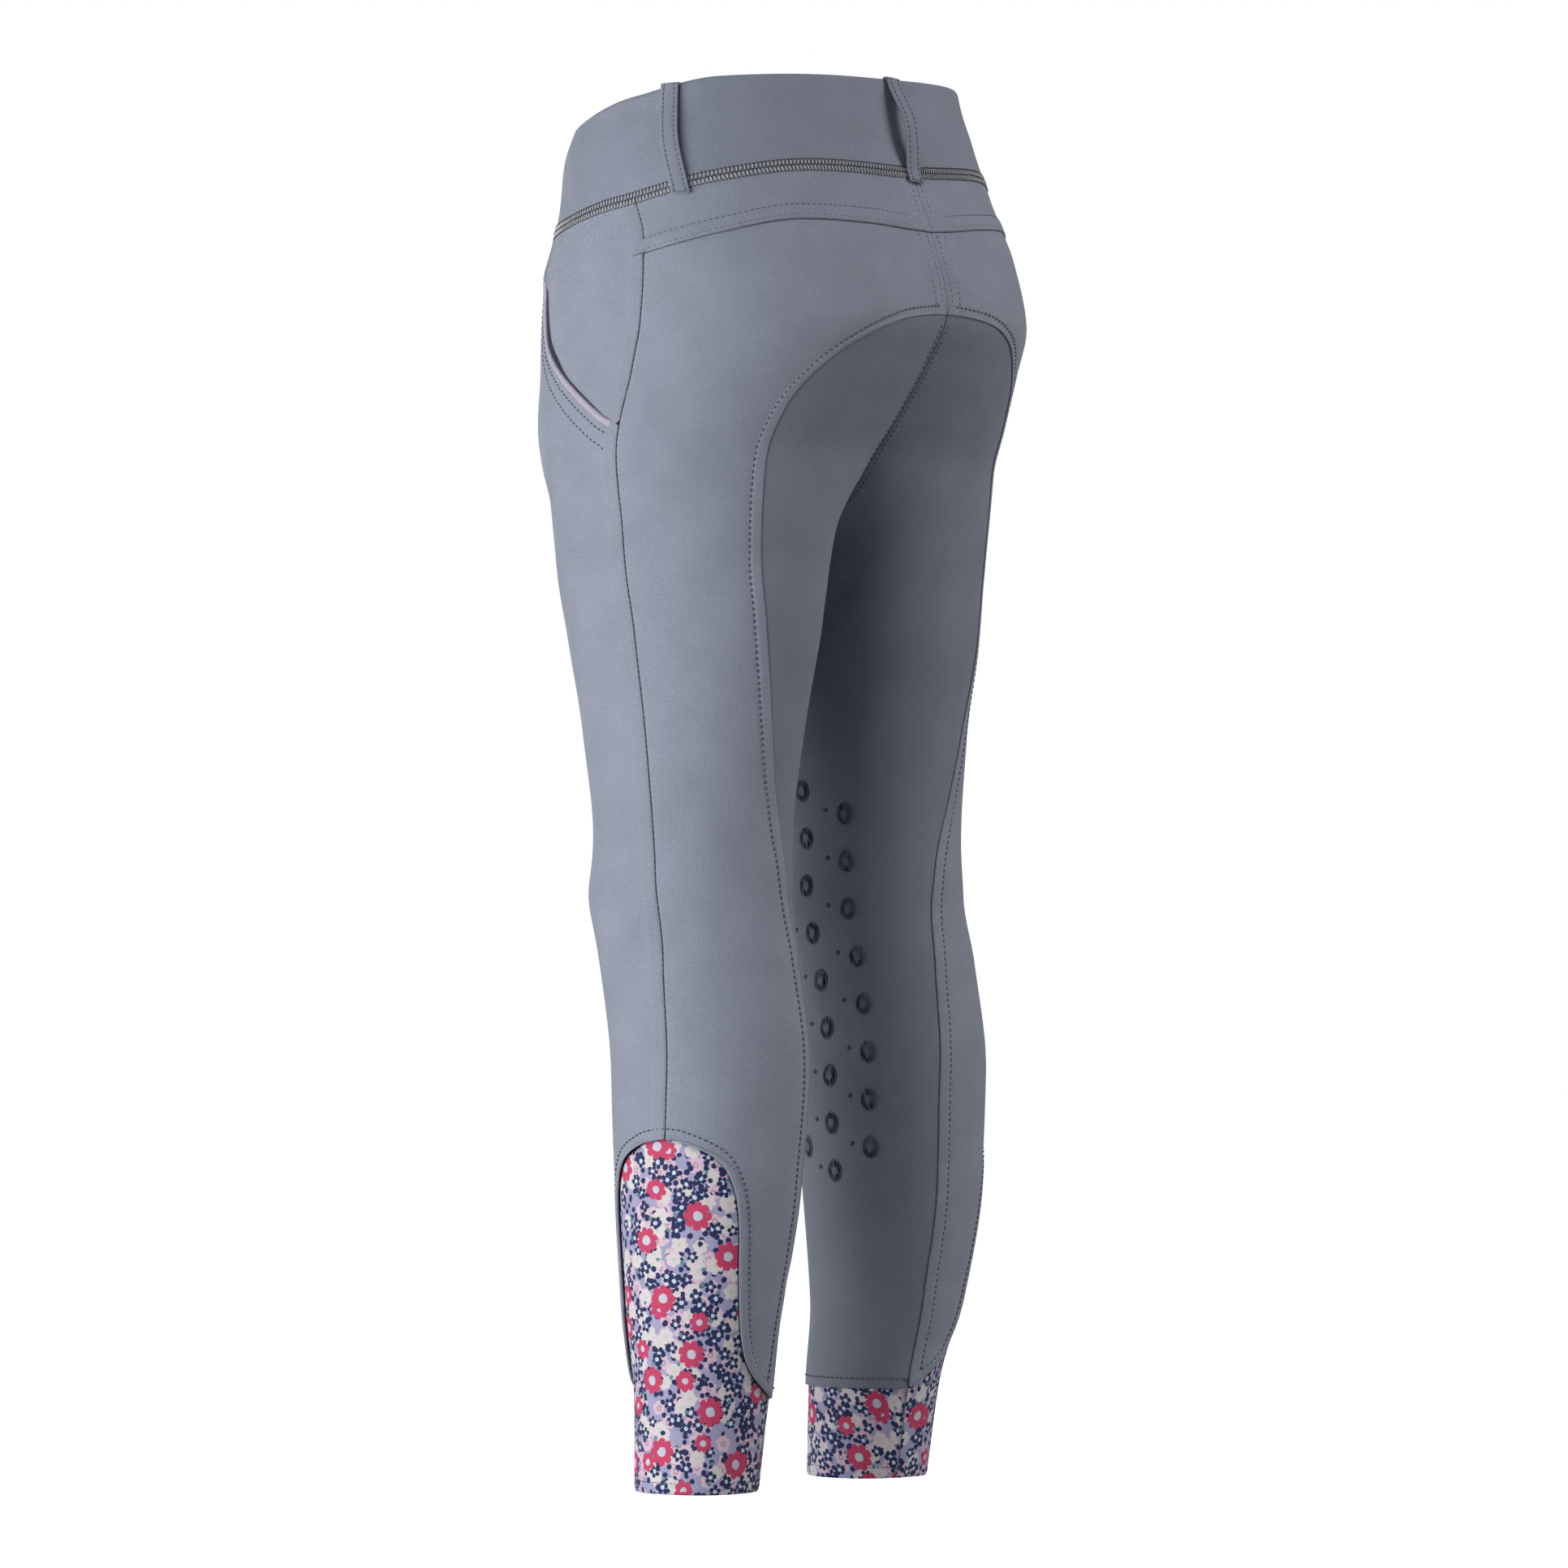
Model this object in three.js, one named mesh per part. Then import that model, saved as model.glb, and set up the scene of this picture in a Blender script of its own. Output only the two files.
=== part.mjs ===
// Riding breeches in the shape they have when worn, with nobody in them.
// Millimetres, +Z up, the front towards -Y and the wearer's left towards +X.
// The origin is the middle of the waistband.
import * as THREE from "three";

// Cloth thicknesses and seams
const CLOTH = 1.2;
const BAND_CLOTH = 2;
const SEAM_GAP = 0.3;
const CUFF_DEPTH = 1.5; // the printed cloth is sewn in behind the turned edge of the grey cloth
const PIPING_WIDTH = 4.6;
const PIPING_FOOT = 5; // height of the piping's end at the side seam
const SIDE_FRONT_FOOT = 7.5; // the side front's corner there, this much above the pocket's foot
const SIDE_FRONT_END = 0.85; // and this share of the way along the piping's last step
const SEAT_TIP = 1.5; // depth of the seat's narrow end under the apex

// Heights of the main points
const CROTCH = -205;
const SEAT_APEX = -94; // where the seat's curved seam meets the centre back
const SEAT_SIDE = -149; // where that curve runs out into the straight seat seam
const THIGH = -225;
const POCKET_FOOT = -157;
const ARCH_TOP = -522.7; // top of the printed calf insert
const CUFF_SEAM = -657;
const HEM = -705.5;
const HIP_END = -152; // here the centre seams start to curve down to the crotch
const YOKE_AT_SIDE = -58.5;
const YOKE_AT_BACK = -50;
const APEX_LEVEL = 3; // levels of the back's seams above the seat's apex

// The band sits this much higher on the wearer's right, for each mm across, fading out below the hip
const HIP_TILT = 0.085;
const TILT_FROM = -230;
const TILT_TO = -20;

// Belt loops
const LOOP_WIDTH = 10.5;
const LOOP_CLOTH = 1.4;
const LOOP_GAP = 7.6;
const LOOP_SIDE_GAP = 8.3;
const LOOP_BACK_GAP = 6.6;
const LOOP_FOOT = 5;
const LOOP_RISE = 7;
const LOOP_SEAT = 0.3;
const LOOP_BELOW_SEAM = 5;
const LOOP_BELOW_TOP = 0.6;

// Mesh steps
const HIP_STEPS = 10;
const CROTCH_STEPS = 5;
const THIGH_STEPS = 2;
const LEG_STEPS = 12;
const ARCH_STEPS = 10;
const BAND_ROWS = 4;
const FRONT_COLUMNS = 9;
const BACK_COLUMNS = 8;
const SEAT_COLUMNS = 8;
const SIDE_FRONT_COLUMNS = 4;
const YOKE_ROWS = 2;
const CUFF_ROWS = 5;
const CUFF_RING_STEPS = 9;

// Millimetres that a degree round the body spans at the pocket and at the calf
const POCKET_SPAN = 2.2;
const CALF_SPAN = 0.9;

// Sections of one half of the body, from the band's top to the hem.
// Above the crotch a section ends on the centre plane, below it it closes round the leg.
// side: farthest point outwards; mid: where the section is widest, along Y;
// front, back: depths from there; lobe: X of the foremost and hindmost points;
// reach: how far the section goes inwards from its lobe; square: the exponent of its curve.
const BODY = table(
  ["z", "side", "mid", "front", "back", "frontLobe", "frontReach", "seatLobe", "seatReach", "square"],
  [
    [40, 109, 2, 79, 80, 0, 109, 0, 109, 2.4],
    [22, 114, 1, 84, 84, 0, 114, 0, 114, 2.4],
    [4, 120, 1, 90, 89, 0, 120, 0, 120, 2.4],
    [-23, 126, 4, 94, 95, 0, 126, 0, 126, 2.4],
    [-60, 132, 7, 104, 106, 10, 140, 14, 128, 2.35],
    [-94, 133, 8, 111, 114, 24, 150, 30, 126, 2.15],
    [-120, 133, 6, 107, 105, 34, 130, 41, 118, 2.1],
    [-145, 133, 3, 100, 94, 46, 106, 52, 108, 2.1],
    [-168, 132, 1, 90, 85, 55, 84, 59, 91, 2.1],
    [-188, 129, 1, 82, 82, 62, 69, 63, 75, 2.1],
    [CROTCH, 126, 1, 80, 80, 65, 65, 65, 65, 2.1],
    [THIGH, 124, 1, 78, 78, 65.5, 60, 65.5, 60, 2.1],
    [-260, 120, 3, 73, 73, 67, 55, 67, 55, 2.1],
    [-310, 116, 4.5, 63.5, 63.5, 69, 49, 69, 49, 2.1],
    [-368, 116, 6.5, 55.5, 55.5, 71.5, 45.5, 71.5, 45.5, 2.1],
    [-394, 117, 6, 57.5, 57, 72.5, 46, 72.5, 46, 2.1],
    [-430, 119, 13, 55, 56, 74, 46, 74, 46, 2.1],
    [-490, 121, 21.5, 53.5, 54, 74, 47, 74, 47, 2.1],
    [-550, 119.5, 21.5, 50, 50, 76, 44, 76, 44, 2.1],
    [-610, 114, 18, 43, 43, 76.5, 38, 76.5, 38, 2.1],
    [-655, 105.5, 13, 37.5, 37.5, 71, 34.5, 71, 34.5, 2.1],
    [-712, 101, 8, 34, 34, 69.5, 31.5, 69.5, 31.5, 2.1],
  ],
);

// Lines round the body: angle from the front, then height
const TOP_EDGE = smooth([[0, 16], [60, 20], [90, 29], [120, 35], [150, 35], [180, 34.5]]);
const WAIST_SEAM = smooth([[0, -40], [60, -36], [90, -28], [120, -19], [150, -14.5], [180, -17]]);
const YOKE_FOLD = smooth([[95, YOKE_AT_SIDE], [120, -50], [145, -44], [165, -46], [183, YOKE_AT_BACK]]);
const SIDE_AT_WAIST = 94;

// Seams down the leg: height, then angle from the front (90 is the outer side, 180 the back)
const SIDE_SEAM = smooth([
  [-27, 94], [-49, 97], [-75, 97], [-121, 96], [-162, 93.5], [-200, 92.8], [-283, 94.5], [-322, 97.4],
  [-384, 102.6], [-408, 104.6], [-455, 101.5], [ARCH_TOP, 98.9],
]);
const SEAT_SEAM = smooth([
  [SEAT_SIDE, 152.4], [-220, 153.5], [-260, 158], [-300, 166.5], [-340, 177], [-385, 191.5],
  [-430, 199.5], [-480, 202.5], [-560, 204], [-610, 206.5], [CUFF_SEAM, 202],
]);
const INNER_SEAM = smooth([
  [CROTCH, 270], [-213, 285], [THIGH, 298], [-245, 309], [-275, 317], [-320, 321], [CUFF_SEAM, 323],
]);

// The pocket mouth and the edges of the calf insert, as angle and height
const POCKET_MOUTH = [
  [49, -38], [51, -60], [53, -84], [55.5, -100], [61, -111.5], [67, -120.5], [74, -130], [89, -150],
];
const ARCH_FRONT = [
  [98.9, ARCH_TOP], [84, -525], [63, -535], [51, -551], [47, -573], [47, -602], [43, -630], [31, -646],
  [14, -654.5], [2, CUFF_SEAM],
];
const ARCH_REAR = [
  [98.9, ARCH_TOP], [110, -524.3], [132, -533], [143, -547], [148, -566], [151.5, -590], [157, -617],
  [164, -635], [178, -647], [202, CUFF_SEAM],
];

// Belt loops: angle of the top end and of the bottom end, and the halves of the body that have one
const LOOPS = [
  { name: "back", top: 180, bottom: 180, gap: LOOP_BACK_GAP, sides: [["", 1]] },
  { name: "side", top: 102, bottom: 107, gap: LOOP_SIDE_GAP, sides: [["_left", 1], ["_right", -1]] },
  { name: "front", top: 22, bottom: 22, gap: LOOP_GAP, sides: [["_left", 1], ["_right", -1]] },
];

const GREY = clothMaterial(0x8b92a1);
const SEAT_GREY = clothMaterial(0x6f7480);
const BAND_GREY = clothMaterial(0x7d848f);
const LILAC = clothMaterial(0xc6b8cc);
const PRINT = clothMaterial(0x9a8fae);

function clothMaterial(color) {
  return new THREE.MeshStandardMaterial({ color, roughness: 0.85, metalness: 0 });
}

function degrees(angle) {
  return (angle * Math.PI) / 180;
}

function mix(a, b, t) {
  return a + (b - a) * t;
}

function mixNodes(a, b, t) {
  return [mix(a[0], b[0], t), mix(a[1], b[1], t)];
}

// A smooth curve through [x, y] pairs that never overshoots them
function smooth(pairs) {
  const points = [...pairs].sort((a, b) => a[0] - b[0]);
  const last = points.length - 1;
  const width = (i) => points[i + 1][0] - points[i][0];
  const rise = (i) => (points[i + 1][1] - points[i][1]) / width(i);
  const slope = points.map((point, i) => {
    if (i === 0) return rise(0);
    if (i === last) return rise(last - 1);
    if (rise(i - 1) * rise(i) <= 0) return 0;
    const before = 2 * width(i) + width(i - 1);
    const after = width(i) + 2 * width(i - 1);
    return (before + after) / (before / rise(i - 1) + after / rise(i));
  });
  return (x) => {
    let i = 0;
    while (i < last - 1 && x > points[i + 1][0]) i += 1;
    const h = width(i);
    const t = (x - points[i][0]) / h;
    const start = points[i][1] * (1 + 2 * t) * (1 - t) ** 2 + h * slope[i] * t * (1 - t) ** 2;
    const end = points[i + 1][1] * t * t * (3 - 2 * t) + h * slope[i + 1] * t * t * (t - 1);
    return start + end;
  };
}

// Named columns of smooth curves over the first column
function table(names, rows) {
  const curves = names.slice(1).map((name, i) => [name, smooth(rows.map((row) => [row[0], row[i + 1]]))]);
  return (x) => Object.fromEntries(curves.map(([name, curve]) => [name, curve(x)]));
}

function signedPower(value, power) {
  return Math.sign(value) * Math.abs(value) ** power;
}

// A point of the body's outer surface at a node [angle, height], on the left half or mirrored
function bodyPoint([angle, height], half) {
  const at = BODY(height);
  const across = Math.sin(degrees(angle));
  const along = Math.cos(degrees(angle));
  const front = along > 0;
  const lobe = front ? at.frontLobe : at.seatLobe;
  const reach = front ? at.frontReach : at.seatReach;
  const depth = front ? at.front : at.back;
  const x = lobe + (across > 0 ? at.side - lobe : reach) * signedPower(across, 2 / at.square);
  const y = at.mid - depth * signedPower(along, 2 / at.square);
  const fade = THREE.MathUtils.smoothstep(height, TILT_FROM, TILT_TO);
  return new THREE.Vector3(half * x, y, height - HIP_TILT * half * x * fade);
}

// Outward normal of the body there
function bodyNormal([angle, height], half) {
  const around = bodyPoint([angle + 0.5, height], half).sub(bodyPoint([angle - 0.5, height], half));
  const up = bodyPoint([angle, height + 0.5], half).sub(bodyPoint([angle, height - 0.5], half));
  return around.cross(up).multiplyScalar(half).normalize();
}

// Angles where a section meets the centre plane above the crotch
function centreBack(height) {
  const { seatLobe, seatReach, square } = BODY(height);
  return 180 + THREE.MathUtils.radToDeg(Math.asin(Math.min(1, seatLobe / seatReach) ** (square / 2)));
}

function centreFront(height) {
  const { frontLobe, frontReach, square } = BODY(height);
  return -THREE.MathUtils.radToDeg(Math.asin(Math.min(1, frontLobe / frontReach) ** (square / 2)));
}

// Equally spaced nodes along a curve through [angle, height] points, where a degree spans mmPerDegree
function spacedNodes(points, steps, mmPerDegree) {
  const flat = points.map(([angle, height]) => new THREE.Vector2(angle * mmPerDegree, height));
  const curve = new THREE.SplineCurve(flat);
  return curve.getSpacedPoints(steps).map((point) => [point.x / mmPerDegree, point.y]);
}

function evenly(from, to, steps) {
  return Array.from({ length: steps }, (_, i) => mix(from, to, (i + 1) / steps));
}

// Nodes moved sideways in the cloth, across the line that they make
function movedAcross(nodes, distance) {
  return nodes.map((node, i) => {
    const before = bodyPoint(nodes[Math.max(0, i - 1)], 1);
    const after = bodyPoint(nodes[Math.min(nodes.length - 1, i + 1)], 1);
    const sideways = after.sub(before).cross(bodyNormal(node, 1)).normalize().multiplyScalar(distance);
    const perDegree = bodyPoint([node[0] + 1, node[1]], 1).sub(bodyPoint(node, 1));
    const perMillimetre = bodyPoint([node[0], node[1] + 1], 1).sub(bodyPoint(node, 1));
    return [
      node[0] + sideways.dot(perDegree) / perDegree.lengthSq(),
      node[1] + sideways.dot(perMillimetre) / perMillimetre.lengthSq(),
    ];
  });
}

// The seams of one half as lists of nodes, with the same number of levels from the waist to the cuff
function seamLevels() {
  const legHeights = evenly(THIGH, ARCH_TOP, LEG_STEPS);
  const archHeights = evenly(ARCH_TOP, CUFF_SEAM, ARCH_STEPS);
  const sideHeights = [
    WAIST_SEAM(SIDE_AT_WAIST), YOKE_AT_SIDE, ...evenly(YOKE_AT_SIDE, POCKET_FOOT, HIP_STEPS - 1),
    ...evenly(POCKET_FOOT, THIGH, CROTCH_STEPS + THIGH_STEPS), ...legHeights,
  ];
  const side = sideHeights.map((z) => [SIDE_SEAM(z), z]);
  const archFront = spacedNodes(ARCH_FRONT, ARCH_STEPS, CALF_SPAN).slice(1);
  const archRear = spacedNodes(ARCH_REAR, ARCH_STEPS, CALF_SPAN).slice(1);

  const crotchDrop = CROTCH - HIP_END;
  const toCrotch = evenly(0, 90, CROTCH_STEPS).map((turn) => HIP_END + crotchDrop * Math.sin(degrees(turn)));
  const innerHeights = [...evenly(CROTCH, THIGH, THIGH_STEPS), ...legHeights, ...archHeights];
  const inner = innerHeights.map((z) => [INNER_SEAM(z), z]);
  const backHeights = [
    WAIST_SEAM(180), YOKE_AT_BACK, mix(YOKE_AT_BACK, SEAT_APEX, 0.5), SEAT_APEX,
    ...evenly(SEAT_APEX, HIP_END, HIP_STEPS - APEX_LEVEL), ...toCrotch,
  ];
  const frontHeights = [WAIST_SEAM(0), ...evenly(WAIST_SEAM(0), HIP_END, HIP_STEPS), ...toCrotch];
  const back = [...backHeights.map((z) => [z === CROTCH ? 270 : centreBack(z), z]), ...inner];
  const front = [...frontHeights.map((z) => [z === CROTCH ? -90 : centreFront(z), z]),
    ...inner.map(([angle, z]) => [angle - 360, z])];

  // The seat's seam leaves the centre back at the apex, rounds the seat and runs down the leg
  const apex = [centreBack(SEAT_APEX), SEAT_APEX];
  const seatAngle = SEAT_SEAM(SEAT_SIDE);
  const arc = evenly(0, 90, HIP_STEPS - APEX_LEVEL).map((turn) => [
    apex[0] - (apex[0] - seatAngle) * Math.sin(degrees(turn)),
    SEAT_SIDE + (SEAT_APEX - SEAT_SIDE) * Math.cos(degrees(turn)),
  ]);
  const straight = [...evenly(SEAT_SIDE, THIGH, CROTCH_STEPS + THIGH_STEPS), ...legHeights, ...archHeights];
  const seat = [...back.slice(0, APEX_LEVEL + 1), ...arc, ...straight.map((z) => [SEAT_SEAM(z), z])];

  const mouthEnd = [SIDE_SEAM(POCKET_FOOT), POCKET_FOOT + 2];
  const mouth = spacedNodes([...POCKET_MOUTH, mouthEnd], HIP_STEPS, POCKET_SPAN);
  return { side, archFront, archRear, back, front, seat, mouth };
}

// A grid of nodes between two seams, level by level
function between(first, second, columns) {
  return first.map((node, level) =>
    Array.from({ length: columns + 1 }, (_, j) => mixNodes(node, second[level], j / columns)));
}

// A row of nodes put on a line round the body
function onLine(row, line) {
  return row.map(([angle]) => [angle, line(angle)]);
}

// Edges of a grid drawn in by half the seam gap, along the cloth and square to the edge
function drawIn(points, normals, closed) {
  const rows = points.length - 1;
  const columns = points[0].length - 1;
  const moved = points.map((row) => row.map((point) => point.clone()));
  const shift = (i, j, fromI, fromJ, toI, toJ, insideI, insideJ) => {
    const edge = points[toI][toJ].clone().sub(points[fromI][fromJ]);
    const across = edge.cross(normals[i][j]).normalize();
    const inside = points[insideI][insideJ].clone().sub(points[i][j]);
    moved[i][j].addScaledVector(across, (Math.sign(across.dot(inside)) * SEAM_GAP) / 2);
  };
  const clamp = THREE.MathUtils.clamp;
  for (let j = 0; j <= columns; j += 1) {
    const before = closed ? (j + columns) % (columns + 1) : clamp(j - 1, 0, columns);
    const after = closed ? (j + 1) % (columns + 1) : clamp(j + 1, 0, columns);
    shift(0, j, 0, before, 0, after, 1, j);
    shift(rows, j, rows, before, rows, after, rows - 1, j);
  }
  for (let i = 0; i <= rows && !closed; i += 1) {
    const before = clamp(i - 1, 0, rows);
    const after = clamp(i + 1, 0, rows);
    shift(i, 0, before, 0, after, 0, i, 1);
    shift(i, columns, before, columns, after, columns, i, columns - 1);
  }
  return moved;
}

// A closed solid between two grids of points that face each other
function solidBetween(outer, inner, closed) {
  const rows = outer.length;
  const columns = outer[0].length;
  const index = (layer, i, j) => layer * rows * columns + i * columns + (j % columns);
  const positions = [...outer.flat(), ...inner.flat()].flatMap((point) => point.toArray());
  const faces = [];
  const quad = (a, b, c, d) => faces.push(a, b, c, a, c, d);
  const spans = closed ? columns : columns - 1;
  for (let i = 0; i < rows - 1; i += 1) {
    for (let j = 0; j < spans; j += 1) {
      quad(index(0, i, j), index(0, i + 1, j), index(0, i + 1, j + 1), index(0, i, j + 1));
      quad(index(1, i, j), index(1, i, j + 1), index(1, i + 1, j + 1), index(1, i + 1, j));
    }
  }
  for (let j = 0; j < spans; j += 1) {
    quad(index(0, 0, j), index(0, 0, j + 1), index(1, 0, j + 1), index(1, 0, j));
    quad(index(0, rows - 1, j + 1), index(0, rows - 1, j), index(1, rows - 1, j), index(1, rows - 1, j + 1));
  }
  for (let i = 0; i < rows - 1 && !closed; i += 1) {
    quad(index(0, i + 1, 0), index(0, i, 0), index(1, i, 0), index(1, i + 1, 0));
    quad(index(0, i, spans), index(0, i + 1, spans), index(1, i + 1, spans), index(1, i, spans));
  }
  const geometry = new THREE.BufferGeometry();
  geometry.setAttribute("position", new THREE.Float32BufferAttribute(positions, 3));
  geometry.setIndex(volume(positions, faces) < 0 ? faces.reverse() : faces);
  geometry.computeVertexNormals();
  return geometry;
}

// Six times the volume inside the faces, negative if they face inwards
function volume(positions, faces) {
  const corner = (i) => new THREE.Vector3().fromArray(positions, 3 * i);
  let total = 0;
  for (let f = 0; f < faces.length; f += 3) {
    total += corner(faces[f]).dot(corner(faces[f + 1]).cross(corner(faces[f + 2])));
  }
  return total;
}

// A cloth piece over a grid of nodes: its outer face lies depth inside the body's surface
function clothPiece(name, nodes, material, half, { depth = 0, thickness = CLOTH } = {}) {
  const normals = nodes.map((row) => row.map((node) => bodyNormal(node, half)));
  const surface = nodes.map((row) => row.map((node) => bodyPoint(node, half)));
  const edges = drawIn(surface, normals, false);
  const sunk = (distance) => edges.map((row, i) =>
    row.map((point, j) => point.clone().addScaledVector(normals[i][j], -distance)));
  return namedMesh(name, solidBetween(sunk(depth), sunk(depth + thickness), false), material);
}

function namedMesh(name, geometry, material) {
  const mesh = new THREE.Mesh(geometry, material);
  mesh.name = name;
  return mesh;
}

// The band's points stand over those of the pieces under it, from the centre front to the centre back
function waistband(angles) {
  const left = angles.slice(0, -1).map((angle) => [angle, 1]);
  const right = angles.slice(1).map((angle) => [angle, -1]).reverse();
  const around = [...left, ...right];
  const heightAt = (angle, i) => mix(TOP_EDGE(angle), WAIST_SEAM(angle), i / BAND_ROWS);
  const grid = (make) => Array.from({ length: BAND_ROWS + 1 }, (_, i) =>
    around.map(([angle, half]) => make([angle, heightAt(angle, i)], half)));
  const normals = grid(bodyNormal);
  const outer = drawIn(grid(bodyPoint), normals, true);
  const inner = outer.map((row, i) =>
    row.map((point, j) => point.clone().addScaledVector(normals[i][j], -BAND_CLOTH)));
  return namedMesh("waistband", solidBetween(outer, inner, true), BAND_GREY);
}

// A belt loop stands off the band on two feet, one just under the top edge and one over the waist seam
function beltLoop(name, { top, bottom, gap }, half) {
  const high = TOP_EDGE(top) - LOOP_BELOW_TOP;
  const low = WAIST_SEAM(bottom) - LOOP_BELOW_SEAM;
  const length = high - low;
  const stations = [0, ...[0, 1, 2, 3].map((third) => LOOP_FOOT + (third * LOOP_RISE) / 3)];
  const fromTop = stations.map((s) => length - s).reverse();
  const along = [...stations, length / 3, length / 2, (2 * length) / 3, ...fromTop];
  const corner = (distance, sideways, layer) => {
    const node = [mix(bottom, top, distance / length), low + distance];
    const fromEnd = Math.min(distance, length - distance);
    const lift = THREE.MathUtils.smoothstep(fromEnd, LOOP_FOOT, LOOP_FOOT + LOOP_RISE);
    const normal = bodyNormal(node, half);
    const across = new THREE.Vector3(0, 0, 1).cross(normal).normalize();
    return bodyPoint(node, half)
      .addScaledVector(normal, LOOP_SEAT + lift * (gap - LOOP_SEAT) + layer * LOOP_CLOTH)
      .addScaledVector(across, (sideways * LOOP_WIDTH) / 2);
  };
  const face = (layer) => along.map((distance) =>
    [-1, 1].map((sideways) => corner(distance, sideways, layer)));
  return namedMesh(name, solidBetween(face(1), face(0), false), BAND_GREY);
}

// The nodes of the cloth pieces of one half of the breeches
function pieceNodes() {
  const { side, archFront, archRear, back, front, seat, mouth } = seamLevels();

  // The pocket mouth's piping, and the edges of the pieces on its two sides
  const footAt = (z) => [SIDE_SEAM(z), z];
  const pipingBack = movedAcross(mouth, -PIPING_WIDTH / 2);
  pipingBack[HIP_STEPS] = footAt(POCKET_FOOT + PIPING_FOOT);
  const pipingFront = movedAcross(mouth, PIPING_WIDTH / 2);
  pipingFront[HIP_STEPS] = footAt(POCKET_FOOT);

  // Front leg: from the centre and the inner seam to the pocket mouth, the side seam and the insert
  const frontEdge = [...pipingFront, ...side.slice(HIP_STEPS + 1), ...archFront];
  const frontNodes = between(front, frontEdge, FRONT_COLUMNS);
  frontNodes[0] = onLine(frontNodes[0], WAIST_SEAM);

  // Side front: between the piping and the side seam
  const sideFrontFirst = [...pipingBack];
  sideFrontFirst[HIP_STEPS] = mixNodes(pipingBack[HIP_STEPS - 1], pipingBack[HIP_STEPS], SIDE_FRONT_END);
  const sideFrontSecond = [...side.slice(0, HIP_STEPS), footAt(POCKET_FOOT + SIDE_FRONT_FOOT)];
  const sideFrontNodes = between(sideFrontFirst, sideFrontSecond, SIDE_FRONT_COLUMNS);
  sideFrontNodes[0] = onLine(sideFrontNodes[0], WAIST_SEAM);

  const pipingNodes = between(pipingFront, pipingBack, 1);
  pipingNodes[0] = onLine(pipingNodes[0], WAIST_SEAM);

  // Back leg, whose top edge is the yoke's fold
  const backNodes = between([...side.slice(1), ...archRear], seat.slice(1), BACK_COLUMNS);
  backNodes[0] = onLine(backNodes[0], YOKE_FOLD);

  const yokeTop = onLine(between([side[0]], [back[0]], BACK_COLUMNS)[0], WAIST_SEAM);
  const yokeNodes = Array.from({ length: YOKE_ROWS + 1 }, (_, i) =>
    yokeTop.map((node, j) => mixNodes(node, backNodes[0][j], i / YOKE_ROWS)));
  for (const row of yokeNodes) {
    const height = row[BACK_COLUMNS][1];
    row[BACK_COLUMNS] = [centreBack(height), height];
  }

  // Seat and inner leg, which come to a narrow point under the apex
  const seatEdge = seat.slice(APEX_LEVEL);
  seatEdge[0] = mixNodes(seat[APEX_LEVEL], seat[APEX_LEVEL + 1], 0.25);
  const seatCentre = back.slice(APEX_LEVEL);
  const belowApex = seatEdge[0][1] - SEAT_TIP;
  seatCentre[0] = [centreBack(belowApex), belowApex];
  const seatNodes = between(seatEdge, seatCentre, SEAT_COLUMNS);

  // Insert and cuff: a ring round the ankle, open at its back seam, that rises into the insert
  const rearEnd = ARCH_REAR.at(-1)[0];
  const frontEnd = ARCH_FRONT.at(-1)[0];
  const ringAngles = [rearEnd - 360, ...evenly(rearEnd - 360, frontEnd, CUFF_RING_STEPS)];
  const insertTop = [...archFront.slice(0, -1).reverse(), ARCH_FRONT[0], ...archRear];
  const topEdge = [...ringAngles.map((angle) => [angle, CUFF_SEAM]), ...insertTop];
  const hemAngles = [...ringAngles, ...evenly(frontEnd, rearEnd, insertTop.length)];
  const cuffNodes = Array.from({ length: CUFF_ROWS + 1 }, (_, i) =>
    topEdge.map((node, j) => mixNodes(node, [hemAngles[j], HEM], i / CUFF_ROWS)));

  return { frontNodes, pipingNodes, sideFrontNodes, yokeNodes, backNodes, seatNodes, cuffNodes };
}

const breeches = new THREE.Group();
breeches.name = "riding_breeches";
const NODES = pieceNodes();
const piecesUnderBand = [NODES.frontNodes, NODES.pipingNodes, NODES.sideFrontNodes, NODES.yokeNodes];
const nodesUnderBand = [piecesUnderBand[0][0][0], ...piecesUnderBand.flatMap((nodes) => nodes[0].slice(1))];
breeches.add(waistband(nodesUnderBand.map(([angle]) => angle)));
for (const [label, half] of [["left", 1], ["right", -1]]) {
  breeches.add(
    clothPiece(`yoke_${label}`, NODES.yokeNodes, GREY, half),
    clothPiece(`back_${label}`, NODES.backNodes, GREY, half),
    clothPiece(`seat_${label}`, NODES.seatNodes, SEAT_GREY, half),
    clothPiece(`front_${label}`, NODES.frontNodes, GREY, half),
    clothPiece(`side_front_${label}`, NODES.sideFrontNodes, GREY, half),
    clothPiece(`pocket_piping_${label}`, NODES.pipingNodes, LILAC, half),
    clothPiece(`cuff_${label}`, NODES.cuffNodes, PRINT, half, { depth: CUFF_DEPTH }),
  );
}
for (const loop of LOOPS) {
  for (const [label, half] of loop.sides) {
    breeches.add(beltLoop(`loop_${loop.name}${label}`, loop, half));
  }
}

export default breeches;
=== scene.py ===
# %% [markdown]
# # Riding breeches
# A pair of full-seat riding breeches, shown in the shape they have when worn, with nobody in them.
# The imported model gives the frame: walls of cloth in their true places. Here each of those walls is
# made again as a thin, finely divided sheet of cloth with its seams, stitches and finish.

# %% Load the frame
import math
import bmesh
import bpy
import numpy as np
from mathutils import Matrix, Vector


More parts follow.
